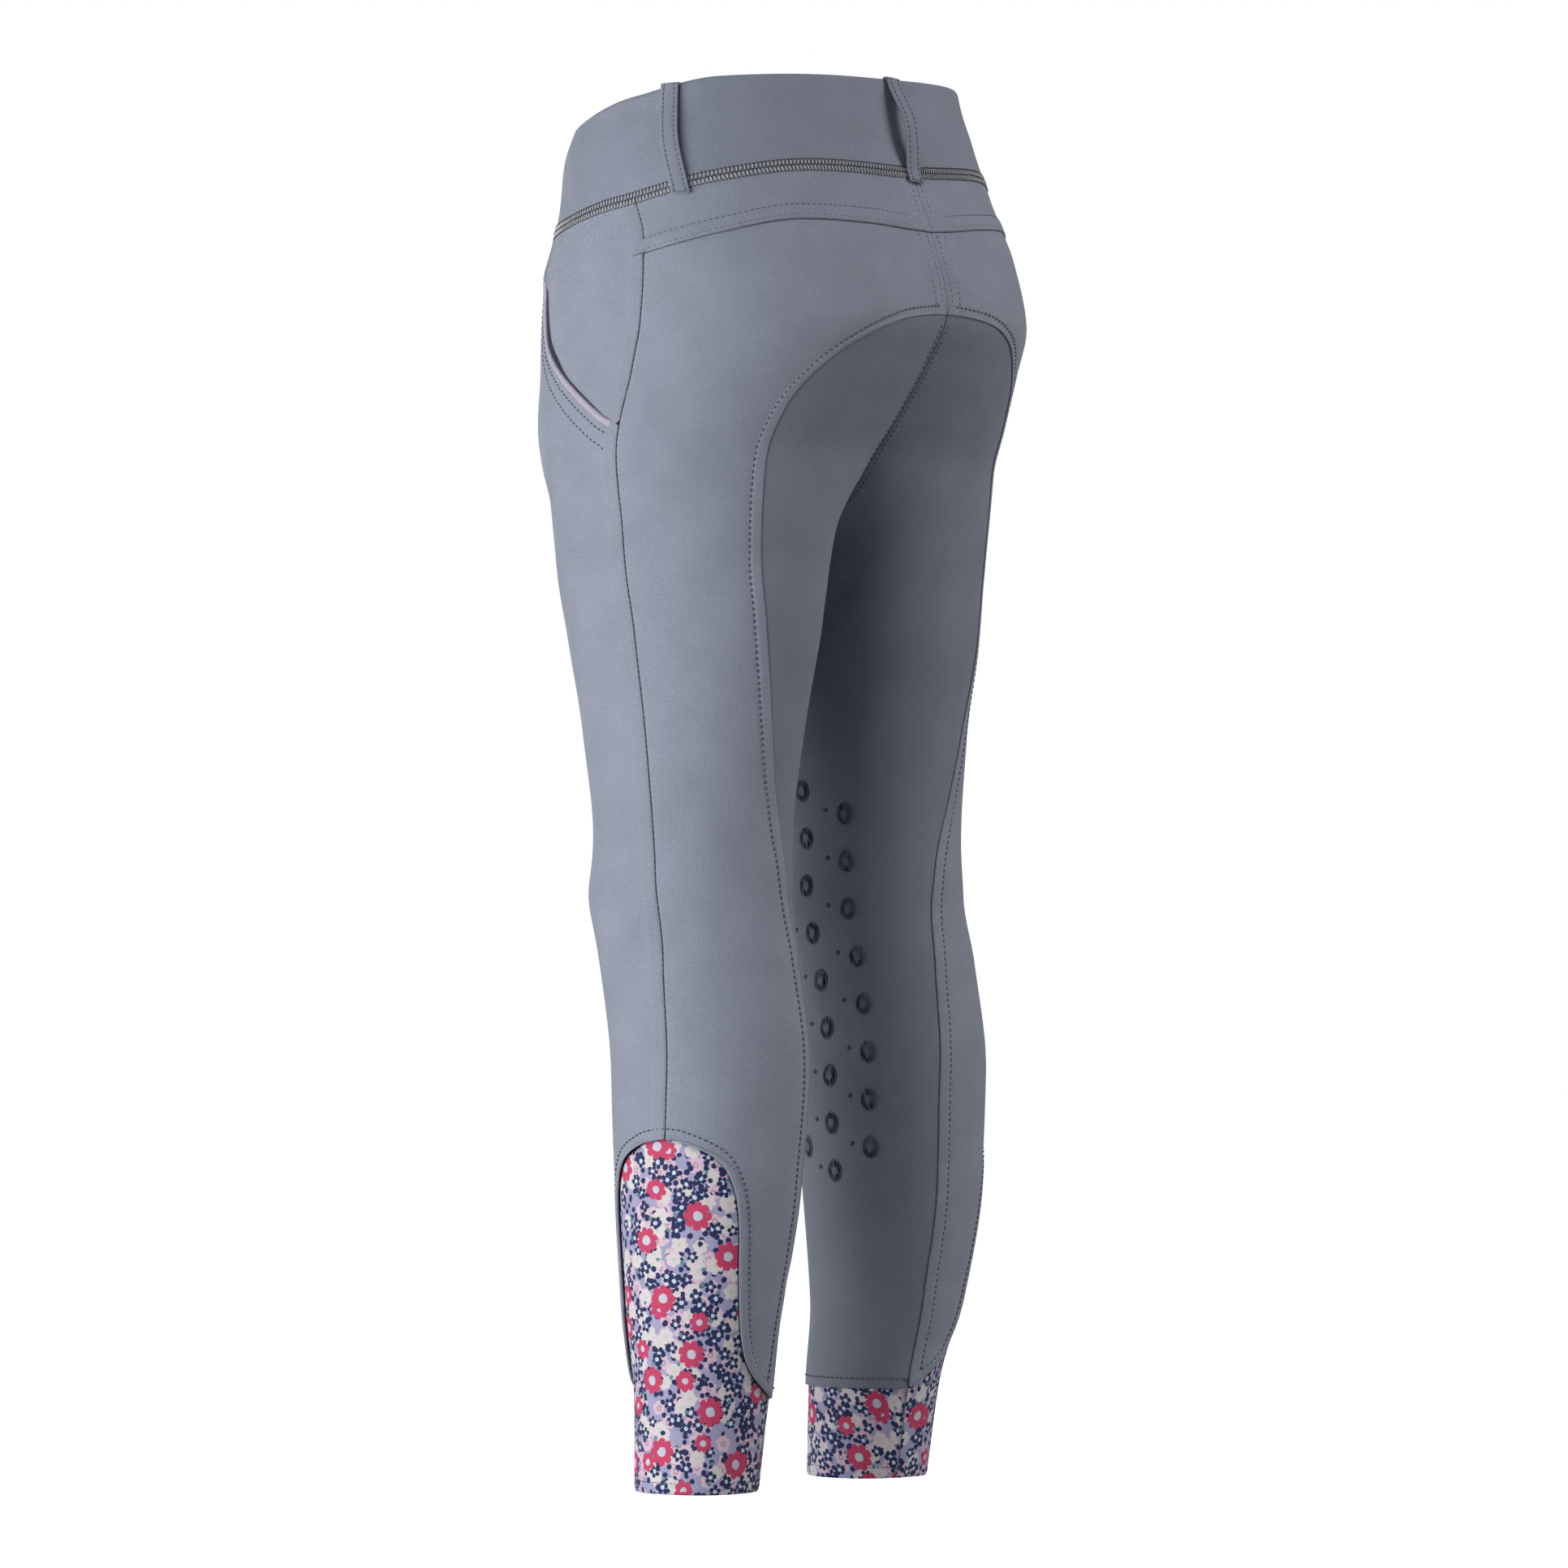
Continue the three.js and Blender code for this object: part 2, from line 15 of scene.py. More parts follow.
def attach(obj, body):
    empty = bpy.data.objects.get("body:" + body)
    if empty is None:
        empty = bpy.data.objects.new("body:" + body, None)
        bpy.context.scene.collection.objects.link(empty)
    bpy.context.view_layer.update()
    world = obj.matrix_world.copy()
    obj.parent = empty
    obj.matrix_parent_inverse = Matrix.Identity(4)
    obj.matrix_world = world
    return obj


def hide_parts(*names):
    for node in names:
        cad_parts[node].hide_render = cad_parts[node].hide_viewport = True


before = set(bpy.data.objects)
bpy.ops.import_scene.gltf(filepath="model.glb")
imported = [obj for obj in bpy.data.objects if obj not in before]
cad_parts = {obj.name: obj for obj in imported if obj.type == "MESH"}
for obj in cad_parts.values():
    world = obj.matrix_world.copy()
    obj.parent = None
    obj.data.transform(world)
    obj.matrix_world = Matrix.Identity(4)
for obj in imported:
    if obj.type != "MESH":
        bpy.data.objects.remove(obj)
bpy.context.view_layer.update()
MM = 0.001
HALVES = (("left", 1), ("right", -1))
print("nodes in the frame:", len(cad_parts))

# %% [markdown]
# The camera stands behind the breeches, towards the wearer's left, about knee high, and looks a
# little upwards. A long lens keeps the legs nearly parallel. It is made first, because all that
# follows is judged through it.

# %% Camera
CAMERA_AT = Vector((2.1021, 1.7730, -0.4810))
CAMERA_AIM = Vector((-0.0045, 0.0054, -0.3350))
LENS_MM = 118.37

camera = bpy.data.objects.new("camera", bpy.data.cameras.new("camera"))
camera.data.lens = LENS_MM
camera.data.sensor_width = 36.0
camera.location = CAMERA_AT
camera.rotation_euler = (CAMERA_AIM - CAMERA_AT).to_track_quat("-Z", "Y").to_euler()
bpy.context.scene.collection.objects.link(camera)
bpy.context.scene.camera = camera
print("camera distance in metres:", round((CAMERA_AIM - CAMERA_AT).length, 3))

# %% [markdown]
# The breeches have no straight line in them, so their form is a table of sections, the same one
# that the solids were made from. A curve that never overshoots its points joins the sections, and a
# point of the cloth is named by two numbers: its angle round the body (0 in front, 90 at the outer
# side, 180 behind) and its height. A seam is then a simple line of such pairs, and the same seam
# serves the cloth on both its sides.


# %% A smooth curve through a few points
def smooth(pairs):
    """A curve through (x, y) pairs that never overshoots them, as a function of arrays."""
    x, y = np.array(sorted(pairs), float).T
    width = np.diff(x)
    rise = np.diff(y) / width
    slope = np.empty_like(y)
    slope[0], slope[-1] = rise[0], rise[-1]
    for i in range(1, len(x) - 1):
        before, after = 2 * width[i] + width[i - 1], width[i] + 2 * width[i - 1]
        same_way = rise[i - 1] * rise[i] > 0
        slope[i] = (before + after) / (before / rise[i - 1] + after / rise[i]) if same_way else 0.0

    def curve(at):
        at = np.asarray(at, float)
        i = np.clip(np.searchsorted(x, at) - 1, 0, len(x) - 2)
        t = (at - x[i]) / width[i]
        start = y[i] * (1 + 2 * t) * (1 - t) ** 2 + width[i] * slope[i] * t * (1 - t) ** 2
        end = y[i + 1] * t * t * (3 - 2 * t) + width[i] * slope[i + 1] * t * t * (t - 1)
        return start + end

    return curve


# %% Sections of one half of the body, in millimetres
CROTCH, SEAT_APEX, SEAT_SIDE, THIGH = -205.0, -94.0, -149.0, -225.0
POCKET_FOOT, ARCH_TOP, CUFF_SEAM, HEM = -157.0, -522.7, -657.0, -705.5
YOKE_AT_SIDE, YOKE_AT_BACK = -58.5, -50.0
HIP_TILT, TILT_FROM, TILT_TO = 0.085, -230.0, -20.0

COLUMNS = ("side", "mid", "front", "back", "front_lobe", "front_reach", "seat_lobe", "seat_reach", "square")
SECTIONS = (
    (40, 109, 2, 79, 80, 0, 109, 0, 109, 2.4),
    (22, 114, 1, 84, 84, 0, 114, 0, 114, 2.4),
    (4, 120, 1, 90, 89, 0, 120, 0, 120, 2.4),
    (-23, 126, 4, 94, 95, 0, 126, 0, 126, 2.4),
    (-60, 132, 7, 104, 106, 10, 140, 14, 128, 2.35),
    (-94, 133, 8, 111, 114, 24, 150, 30, 126, 2.15),
    (-120, 133, 6, 107, 105, 34, 130, 41, 118, 2.1),
    (-145, 133, 3, 100, 94, 46, 106, 52, 108, 2.1),
    (-168, 132, 1, 90, 85, 55, 84, 59, 91, 2.1),
    (-188, 129, 1, 82, 82, 62, 69, 63, 75, 2.1),
    (CROTCH, 126, 1, 80, 80, 65, 65, 65, 65, 2.1),
    (THIGH, 124, 1, 78, 78, 65.5, 60, 65.5, 60, 2.1),
    (-260, 120, 3, 73, 73, 67, 55, 67, 55, 2.1),
    (-310, 116, 4.5, 63.5, 63.5, 69, 49, 69, 49, 2.1),
    (-368, 116, 6.5, 55.5, 55.5, 71.5, 45.5, 71.5, 45.5, 2.1),
    (-394, 117, 6, 57.5, 57, 72.5, 46, 72.5, 46, 2.1),
    (-430, 119, 13, 55, 56, 74, 46, 74, 46, 2.1),
    (-490, 121, 21.5, 53.5, 54, 74, 47, 74, 47, 2.1),
    (-550, 119.5, 21.5, 50, 50, 76, 44, 76, 44, 2.1),
    (-610, 114, 18, 43, 43, 76.5, 38, 76.5, 38, 2.1),
    (-655, 105.5, 13, 37.5, 37.5, 71, 34.5, 71, 34.5, 2.1),
    (-712, 101, 8, 34, 34, 69.5, 31.5, 69.5, 31.5, 2.1),
)
BODY = {name: smooth([(row[0], row[i + 1]) for row in SECTIONS]) for i, name in enumerate(COLUMNS)}
GIRTH = smooth([(40, 95), (-20, 108), (-120, 116), (-205, 78), (-300, 58), (-368, 50), (-490, 50),
                (-600, 41), (-712, 33)])


def signed_power(value, power):
    return np.sign(value) * np.abs(value) ** power


def fade(value, low, high):
    """0 below low, 1 above high, with a soft step between."""
    t = np.clip((value - low) / (high - low), 0, 1)
    return t * t * (3 - 2 * t)


def body_point(angle, height, half):
    """Points of the body's surface in millimetres, for arrays of angles and heights."""
    at = {name: curve(height) for name, curve in BODY.items()}
    across, along = np.sin(np.radians(angle)), np.cos(np.radians(angle))
    lobe = np.where(along > 0, at["front_lobe"], at["seat_lobe"])
    reach = np.where(along > 0, at["front_reach"], at["seat_reach"])
    depth = np.where(along > 0, at["front"], at["back"])
    power = 2 / at["square"]
    x = half * (lobe + np.where(across > 0, at["side"] - lobe, reach) * signed_power(across, power))
    y = at["mid"] - depth * signed_power(along, power)
    return np.stack([x, y, height - HIP_TILT * x * fade(height, TILT_FROM, TILT_TO)], -1)


def body_normal(angle, height, half):
    """Outward normals there."""
    step = 0.5
    around = body_point(angle + step, height, half) - body_point(angle - step, height, half)
    up = body_point(angle, height + step, half) - body_point(angle, height - step, half)
    normal = np.cross(around, up) * half
    return normal / np.linalg.norm(normal, axis=-1, keepdims=True)


# %% [markdown]
# Stretch cloth on a body is nearly smooth. What relief it has is shallow and soft: a fold under the
# seat, faint pulls at the crotch and behind the knee, a slight bag at the pocket's mouth. Each is one
# row of a table, and no two are alike. The same relief is read by all the pieces, so
# that cloth, stitches and grips stay together at every seam.

# %% Soft creases of the cloth: two ends as angle and height, width, depth and the halves that have it
CREASE_TABLE = (
    # from angle, height, to angle, height, width mm, depth mm, which halves
    (150, -214, 214, -233, 9.0, 1.10, "both"),
    (164, -232, 226, -250, 7.0, 0.55, "left"),
    (158, -236, 216, -246, 8.0, 0.60, "right"),
    (232, -214, 262, -262, 5.0, 0.80, "both"),
    (222, -222, 246, -290, 6.5, 0.50, "left"),
    (140, -352, 226, -361, 6.0, 0.45, "left"),
    (152, -372, 238, -367, 5.0, 0.60, "left"),
    (146, -389, 216, -396, 7.0, 0.40, "left"),
    (150, -357, 232, -350, 6.0, 0.50, "right"),
    (160, -383, 240, -377, 5.5, 0.55, "right"),
    (20, -386, 92, -372, 7.0, 0.40, "left"),
    (12, -408, 84, -418, 8.0, 0.45, "left"),
    (16, -380, 88, -388, 7.0, 0.45, "right"),
    (-8, -150, 34, -196, 6.0, 0.80, "both"),
    (-30, -182, 30, -214, 5.5, 0.90, "left"),
    (-26, -176, 34, -206, 5.5, 0.80, "right"),
    (-60, -214, 6, -238, 6.0, 0.70, "both"),
    (6, -60, 42, -92, 9.0, 0.50, "both"),
    (150, -628, 206, -634, 5.0, 0.45, "right"),
    (196, -590, 250, -603, 6.0, 0.40, "both"),
    (40, -668, 120, -674, 4.0, 0.35, "both"),
    (150, -676, 230, -670, 4.0, 0.35, "left"),
)
POCKET_BAG = ((49.0, -60.0), 9.0, 1.3)


def relief(angle, height, half):
    """How far the creases move the cloth outwards there, in millimetres."""
    here = body_point(angle, height, 1)
    total = np.zeros(np.shape(angle))
    name = "left" if half > 0 else "right"
    for a0, z0, a1, z1, width, depth, which in CREASE_TABLE:
        if which not in ("both", name):
            continue
        start, end = body_point(np.array([a0, a1], float), np.array([z0, z1], float), 1)
        way = end - start
        t = np.clip((here - start) @ way / (way @ way), 0, 1)
        distance = np.linalg.norm(here - start - t[..., None] * way, axis=-1)
        ends = fade(t, 0.0, 0.3) * (1 - fade(t, 0.7, 1.0))
        near = np.exp(-((distance / width) ** 2))
        beside = np.exp(-(((distance - 2.0 * width) / width) ** 2))
        total += depth * ends * (0.35 * beside - near)
    (angle_bag, height_bag), width, rise = POCKET_BAG
    centre = body_point(np.array(angle_bag), np.array(height_bag), 1)
    total += rise * np.exp(-((np.linalg.norm(here - centre, axis=-1) / width) ** 2))
    return total


def cloth_point(nodes, half, lift=0.0):
    """Points of the cloth's outer face in metres, over nodes of angle and height."""
    angle, height = nodes[..., 0], nodes[..., 1]
    rise = relief(angle, height, half) + lift
    return (body_point(angle, height, half) + body_normal(angle, height, half) * rise[..., None]) * MM


# %% [markdown]
# The seams are drawn as a pattern cutter would draw them: round the body for the waist, the yoke and
# the hems, down the leg for the side seam and the seam of the seat. All the pieces of a leg share one
# ladder of levels from the waist to the cuff, so that a point of one edge always meets its partner.

# %% Lines round the body and down the leg
TOP_EDGE = smooth([(0, 16), (60, 20), (90, 29), (120, 35), (150, 35), (180, 34.5)])
WAIST_SEAM = smooth([(0, -40), (60, -36), (90, -28), (120, -19), (150, -14.5), (180, -17)])
YOKE_FOLD = smooth([(95, YOKE_AT_SIDE), (120, -50), (145, -44), (165, -46), (183, YOKE_AT_BACK)])
SIDE_SEAM = smooth([(-27, 94), (-49, 97), (-75, 97), (-121, 96), (-162, 93.5), (-200, 92.8), (-283, 94.5),
                    (-322, 97.4), (-384, 102.6), (-408, 104.6), (-455, 101.5), (ARCH_TOP, 98.9)])
SEAT_SEAM = smooth([(SEAT_SIDE, 152.4), (-220, 153.5), (-260, 158), (-300, 166.5), (-340, 177), (-385, 191.5),
                    (-430, 199.5), (-480, 202.5), (-560, 204), (-610, 206.5), (CUFF_SEAM, 202)])
INNER_SEAM = smooth([(CROTCH, 270), (-213, 285), (THIGH, 298), (-245, 309), (-275, 317), (-320, 321),
                     (CUFF_SEAM, 323)])
POCKET_MOUTH = ((49, -38), (51, -60), (53, -84), (55.5, -100), (61, -111.5), (67, -120.5), (74, -130), (89, -150))
ARCH_FRONT = ((98.9, ARCH_TOP), (84, -525), (63, -535), (51, -551), (47, -573), (47, -602), (43, -630),
              (31, -646), (14, -654.5), (2, CUFF_SEAM))
ARCH_REAR = ((98.9, ARCH_TOP), (110, -524.3), (132, -533), (143, -547), (148, -566), (151.5, -590), (157, -617),
             (164, -635), (178, -647), (202, CUFF_SEAM))


def centre_back(height):
    lobe, reach, square = BODY["seat_lobe"](height), BODY["seat_reach"](height), BODY["square"](height)
    return 180 + np.degrees(np.arcsin(np.clip(lobe / reach, 0, 1) ** (square / 2)))


def centre_front(height):
    lobe, reach, square = BODY["front_lobe"](height), BODY["front_reach"](height), BODY["square"](height)
    return -np.degrees(np.arcsin(np.clip(lobe / reach, 0, 1) ** (square / 2)))


def nodes_of(angle, height):
    return np.stack(np.broadcast_arrays(np.asarray(angle, float), np.asarray(height, float)), -1)


def even_line(points, at, mm_per_degree):
    """Nodes at the shares at (0 to 1) of the length of a spline through a few nodes."""
    p = np.array(points, float) * (mm_per_degree, 1)
    p = np.vstack([p[0], p, p[-1]])
    t = np.linspace(0, 1, 40, endpoint=False)[:, None]
    parts = []
    for i in range(len(p) - 3):
        a, b, c, d = p[i:i + 4]
        tangent_b, tangent_c = (c - a) / 2, (d - b) / 2
        parts.append((2 * b - 2 * c + tangent_b + tangent_c) * t**3
                     + (-3 * b + 3 * c - 2 * tangent_b - tangent_c) * t**2 + tangent_b * t + b)
    fine = np.vstack([*parts, p[-2:-1]])
    length = np.concatenate([[0], np.cumsum(np.linalg.norm(np.diff(fine, axis=0), axis=1))])
    where = np.asarray(at) * length[-1]
    return nodes_of(np.interp(where, length, fine[:, 0]) / mm_per_degree, np.interp(where, length, fine[:, 1]))


def moved(nodes, distance):
    """Nodes moved sideways in the cloth, across the line that they make."""
    point = body_point(nodes[:, 0], nodes[:, 1], 1)
    tangent = np.gradient(point, axis=0)
    sideways = np.cross(tangent, body_normal(nodes[:, 0], nodes[:, 1], 1))
    sideways *= np.reshape(distance, (-1, 1)) / np.linalg.norm(sideways, axis=1, keepdims=True)
    per_degree = body_point(nodes[:, 0] + 1, nodes[:, 1], 1) - point
    per_mm = body_point(nodes[:, 0], nodes[:, 1] + 1, 1) - point
    shift = [(sideways * per).sum(1) / (per * per).sum(1) for per in (per_degree, per_mm)]
    return nodes + np.stack(shift, 1)


# %% The ladder of levels that all the pieces of a leg share
HIP, CROTCH_LEVEL, THIGH_LEVEL, LEG, CUFF_LEVEL = 10, 15, 17, 29, 39
APEX_LEVEL, YOKE_LEVEL = 3, 1
HIP_END = -152.0
END_STEPS = (0.0, 0.03, 0.08, 0.15)  # closer levels at the ends, where the cloth is turned


def ladder(first, last, per_level):
    """Levels from first to last, closer together at both ends."""
    count = int(round((last - first) * per_level))
    middle = np.linspace(first, last, count + 1)[1:-1]
    middle = middle[(middle > first + 0.2) & (middle < last - 0.2)]
    ends = np.array(END_STEPS)
    return np.concatenate([first + ends, middle, (last - ends)[::-1]])


def stepped(table):
    """A height for any level, straight between the levels of a table of (level, height)."""
    level, height = np.array(table, float).T
    return lambda at: np.interp(at, level, height)


side_height = stepped([(0, float(WAIST_SEAM(94))), (1, YOKE_AT_SIDE), (HIP, POCKET_FOOT), (THIGH_LEVEL, THIGH),
                       (LEG, ARCH_TOP), (CUFF_LEVEL, CUFF_SEAM)])
inner_steps = [(THIGH_LEVEL, THIGH), (LEG, ARCH_TOP), (CUFF_LEVEL, CUFF_SEAM)]
to_crotch = [(HIP + i, HIP_END + (CROTCH - HIP_END) * math.sin(math.radians(18 * i))) for i in range(1, 6)]
back_height = stepped([(0, float(WAIST_SEAM(180))), (1, YOKE_AT_BACK), (APEX_LEVEL, SEAT_APEX), (HIP, HIP_END),
                       *to_crotch, *inner_steps])
front_height = stepped([(0, float(WAIST_SEAM(0))), (HIP, HIP_END), *to_crotch, *inner_steps])
seat_height = stepped([(HIP, SEAT_SIDE), (THIGH_LEVEL, THIGH), (LEG, ARCH_TOP), (CUFF_LEVEL, CUFF_SEAM)])


def side_edge(level):
    height = side_height(level)
    return nodes_of(SIDE_SEAM(height), height)


def centre_back_edge(level):
    height = back_height(level)
    return nodes_of(np.where(height >= CROTCH, centre_back(height), INNER_SEAM(height)), height)


def centre_front_edge(level):
    height = front_height(level)
    return nodes_of(np.where(height >= CROTCH, centre_front(height), INNER_SEAM(height) - 360), height)


def seat_edge(level):
    """The seam of the seat: a quarter ellipse from the apex, then down the leg."""
    apex = float(centre_back(SEAT_APEX))
    turn = np.radians(90 * np.clip((level - APEX_LEVEL) / (HIP - APEX_LEVEL), 0, 1))
    arc = nodes_of(apex - (apex - float(SEAT_SEAM(SEAT_SIDE))) * np.sin(turn),
                   SEAT_SIDE + (SEAT_APEX - SEAT_SIDE) * np.cos(turn))
    height = seat_height(level)
    straight = nodes_of(SEAT_SEAM(height), height)
    above = centre_back_edge(level)
    line = np.where((level > HIP)[:, None], straight, arc)
    return np.where((level < APEX_LEVEL)[:, None], above, line)


def arch_edge(points, level):
    return even_line(points, (level - LEG) / (CUFF_LEVEL - LEG), 0.9)


def foot(height):
    return nodes_of(SIDE_SEAM(height), height)


def pocket_edge(level, distance, foot_height, share=1.0):
    """The pocket's mouth, moved across by a distance, which runs out at the side seam."""
    points = [*POCKET_MOUTH, (float(SIDE_SEAM(POCKET_FOOT)), POCKET_FOOT + 2)]
    line = moved(even_line(points, np.linspace(0, 1, 201), 2.2), distance)
    at = np.linspace(0, HIP, 201)
    along = nodes_of(np.interp(level, at, line[:, 0]), np.interp(level, at, line[:, 1]))
    ninth = nodes_of(np.interp(9, at, line[:, 0]), np.interp(9, at, line[:, 1]))
    last = ninth + np.clip(level - 9, 0, 1)[:, None] * share * (foot(foot_height) - ninth)
    return np.where((level > 9)[:, None], last, along)


print("levels of a leg:", len(ladder(0, CUFF_LEVEL, 6)))

# %% [markdown]
# Cloth colours first, as a dyer would name them, then the finishes. The outer cloth is a brushed
# stretch knit: matt, with a soft sheen at grazing angles, fine ribs of stitches and a slightly cloudy
# dye. One shader group makes that knit for every cloth here, each with its own colour and strength.


# %% Colours and small helpers for shader nodes
def srgb(red, green, blue):
    """A colour given as 0 to 255 per channel, in the linear values that shaders read."""
    channels = [c / 255 for c in (red, green, blue)]
    return (*[c / 12.92 if c <= 0.04045 else ((c + 0.055) / 1.055) ** 2.4 for c in channels], 1.0)


OUTER_BLUE_GREY = srgb(140, 146, 161)
# The seat is a darker cloth of its own; its slight blue tint is painted colour of the bluish shade between the legs.
SEAT_GREY = srgb(124, 130, 142)
BAND_GREY = srgb(134, 140, 155)
PIPING_LILAC = srgb(176, 168, 184)
THREAD_GREY = srgb(82, 87, 100)
# Pale thread coloured darker than the cloth: painted shade of the stitch dips and of the gaps between stitches, so
# these rows read as dark dashed lines.
PALE_THREAD_PAINTED_SHADE = srgb(86, 91, 104)
FLAT_SEAM_THREAD = srgb(184, 181, 180)
# Dark colour of the flat seam's needle rows: partly the needle thread, partly painted shade of the needle holes.
NEEDLE_THREAD_AND_HOLE_SHADE = srgb(58, 62, 74)
SILICONE_GREY = srgb(100, 107, 121)


def add_node(tree, kind, values=None, **settings):
    node = tree.nodes.new(kind)
    for name, value in settings.items():
        setattr(node, name, value)
    for socket, value in (values or {}).items():
        node.inputs[socket].default_value = value
    return node


def maths(tree, operation, *inputs, clamp=False):
    """A Math node over sockets or numbers, and its result."""
    node = add_node(tree, "ShaderNodeMath", operation=operation, use_clamp=clamp)
    for i, value in enumerate(inputs):
        if isinstance(value, bpy.types.NodeSocket):
            tree.links.new(value, node.inputs[i])
        else:
            node.inputs[i].default_value = value
    return node.outputs[0]


def mixed(tree, factor, first, second):
    """A colour Mix node, and its result."""
    node = add_node(tree, "ShaderNodeMix", data_type="RGBA", clamp_factor=True)
    for socket, value in ((0, factor), (6, first), (7, second)):
        if isinstance(value, bpy.types.NodeSocket):
            tree.links.new(value, node.inputs[socket])
        else:
            node.inputs[socket].default_value = value
    return node.outputs[2]


def new_group(name, inputs, outputs):
    """An empty shader group with named sockets, given as (name, kind, value)."""
    group = bpy.data.node_groups.new(name, "ShaderNodeTree")
    for socket_name, kind, value in inputs:
        socket = group.interface.new_socket(socket_name, in_out="INPUT", socket_type=f"NodeSocket{kind}")
        if value is not None:
            socket.default_value = value
    for socket_name, kind in outputs:
        group.interface.new_socket(socket_name, in_out="OUTPUT", socket_type=f"NodeSocket{kind}")
    start = group.nodes.new("NodeGroupInput")
    end = group.nodes.new("NodeGroupOutput")
    return group, start.outputs, end.inputs


# %% The knit, as a shader group
def make_knit_group():
    group, given, result = new_group(
        "knit",
        [("Position", "Vector", None), ("Colour", "Color", (0.5, 0.5, 0.5, 1)), ("Cloudiness", "Float", 0.10),
         ("Rib mm", "Float", 1.1), ("Roughness", "Float", 0.85)],
        [("Colour", "Color"), ("Roughness", "Float"), ("Height", "Float")],
    )
    link = group.links.new
    cloud = add_node(group, "ShaderNodeTexNoise", {"Scale": 0.035, "Detail": 3.0, "Roughness": 0.55})
    grain = add_node(group, "ShaderNodeTexNoise", {"Scale": 0.75, "Detail": 3.0, "Roughness": 0.75})
    for noise in (cloud, grain):
        link(given["Position"], noise.inputs["Vector"])
    split = add_node(group, "ShaderNodeSeparateXYZ")
    link(given["Position"], split.inputs[0])
    turn = maths(group, "DIVIDE", 2 * math.pi, given["Rib mm"])
    rib = maths(group, "SINE", maths(group, "MULTIPLY", split.outputs["X"], turn))
    course = maths(group, "SINE", maths(group, "MULTIPLY", split.outputs["Y"], maths(group, "MULTIPLY", turn, 1.3)))
    loops = maths(group, "ADD", maths(group, "MULTIPLY", rib, 0.5), maths(group, "MULTIPLY", course, 0.3))
    fuzz = maths(group, "SUBTRACT", grain.outputs["Fac"], 0.5)
    link(maths(group, "ADD", loops, maths(group, "MULTIPLY", fuzz, 1.6)), result["Height"])
    shade = maths(group, "ADD", maths(group, "SUBTRACT", cloud.outputs["Fac"], 0.5), maths(group, "MULTIPLY", fuzz, 2.2))
    # The ribs also tint the colour, lighter on the ribs and darker in the dips between them: painted shade. Cloudiness
    # scales it together with the dye's cloud and the grain.
    shade = maths(group, "ADD", shade, maths(group, "MULTIPLY", loops, 0.12))
    gain = maths(group, "MULTIPLY_ADD", shade, given["Cloudiness"], 1.0)
    tint = add_node(group, "ShaderNodeVectorMath", operation="SCALE")
    link(given["Colour"], tint.inputs[0])
    link(gain, tint.inputs["Scale"])
    link(tint.outputs[0], result["Colour"])
    link(maths(group, "MULTIPLY_ADD", fuzz, 0.12, given["Roughness"]), result["Roughness"])
    return group


KNIT = make_knit_group()


def place_group(tree, group, values):
    node = add_node(tree, "ShaderNodeGroup", node_tree=group)
    for name, value in values.items():
        if isinstance(value, bpy.types.NodeSocket):
            tree.links.new(value, node.inputs[name])
        else:
            node.inputs[name].default_value = value
    return node


def new_material(name, roughness=0.85, sheen=0.0):
    material = bpy.data.materials.new(name)
    material.use_nodes = True
    shader = material.node_tree.nodes["Principled BSDF"]
    shader.inputs["Roughness"].default_value = roughness
    shader.inputs["Specular IOR Level"].default_value = 0.25
    shader.inputs["Sheen Weight"].default_value = sheen
    shader.inputs["Sheen Roughness"].default_value = 0.45
    return material, material.node_tree, shader


def bumped(tree, shader, height, strength, depth_mm):
    bump = add_node(tree, "ShaderNodeBump", {"Strength": strength, "Distance": depth_mm * MM})
    tree.links.new(height, bump.inputs["Height"])
    tree.links.new(bump.outputs["Normal"], shader.inputs["Normal"])


def cloth_material(name, colour, cloudiness=0.30, rib_mm=1.1, sheen=0.12, depth_mm=0.10, roughness=0.85):
    """A knitted cloth whose pattern follows the piece's own UV map, which is in millimetres."""
    material, tree, shader = new_material(name, roughness, sheen)
    place = add_node(tree, "ShaderNodeUVMap", uv_map="cloth_mm")
    knit = place_group(tree, KNIT, {"Position": place.outputs["UV"], "Colour": colour, "Cloudiness": cloudiness,
                                    "Rib mm": rib_mm, "Roughness": roughness})
    tree.links.new(knit.outputs["Colour"], shader.inputs["Base Color"])
    tree.links.new(knit.outputs["Roughness"], shader.inputs["Roughness"])
    bumped(tree, shader, knit.outputs["Height"], 0.6, depth_mm)
    return material


def plain_material(name, colour, roughness=0.6, sheen=0.0, grain_scale=900.0, cloudiness=0.15):
    """Thread, piping or silicone, with a fine grain on Object coordinates."""
    material, tree, shader = new_material(name, roughness, sheen)
    place = add_node(tree, "ShaderNodeTexCoord")
    grain = add_node(tree, "ShaderNodeTexNoise", {"Scale": grain_scale, "Detail": 2.0})
    tree.links.new(place.outputs["Object"], grain.inputs["Vector"])
    gain = maths(tree, "MULTIPLY_ADD", maths(tree, "SUBTRACT", grain.outputs["Fac"], 0.5), cloudiness * 2, 1.0)
    tint = add_node(tree, "ShaderNodeVectorMath", operation="SCALE")
    tint.inputs[0].default_value = colour[:3]
    tree.links.new(gain, tint.inputs["Scale"])
    tree.links.new(tint.outputs[0], shader.inputs["Base Color"])
    bumped(tree, shader, grain.outputs["Fac"], 0.3, 0.05)
    return material


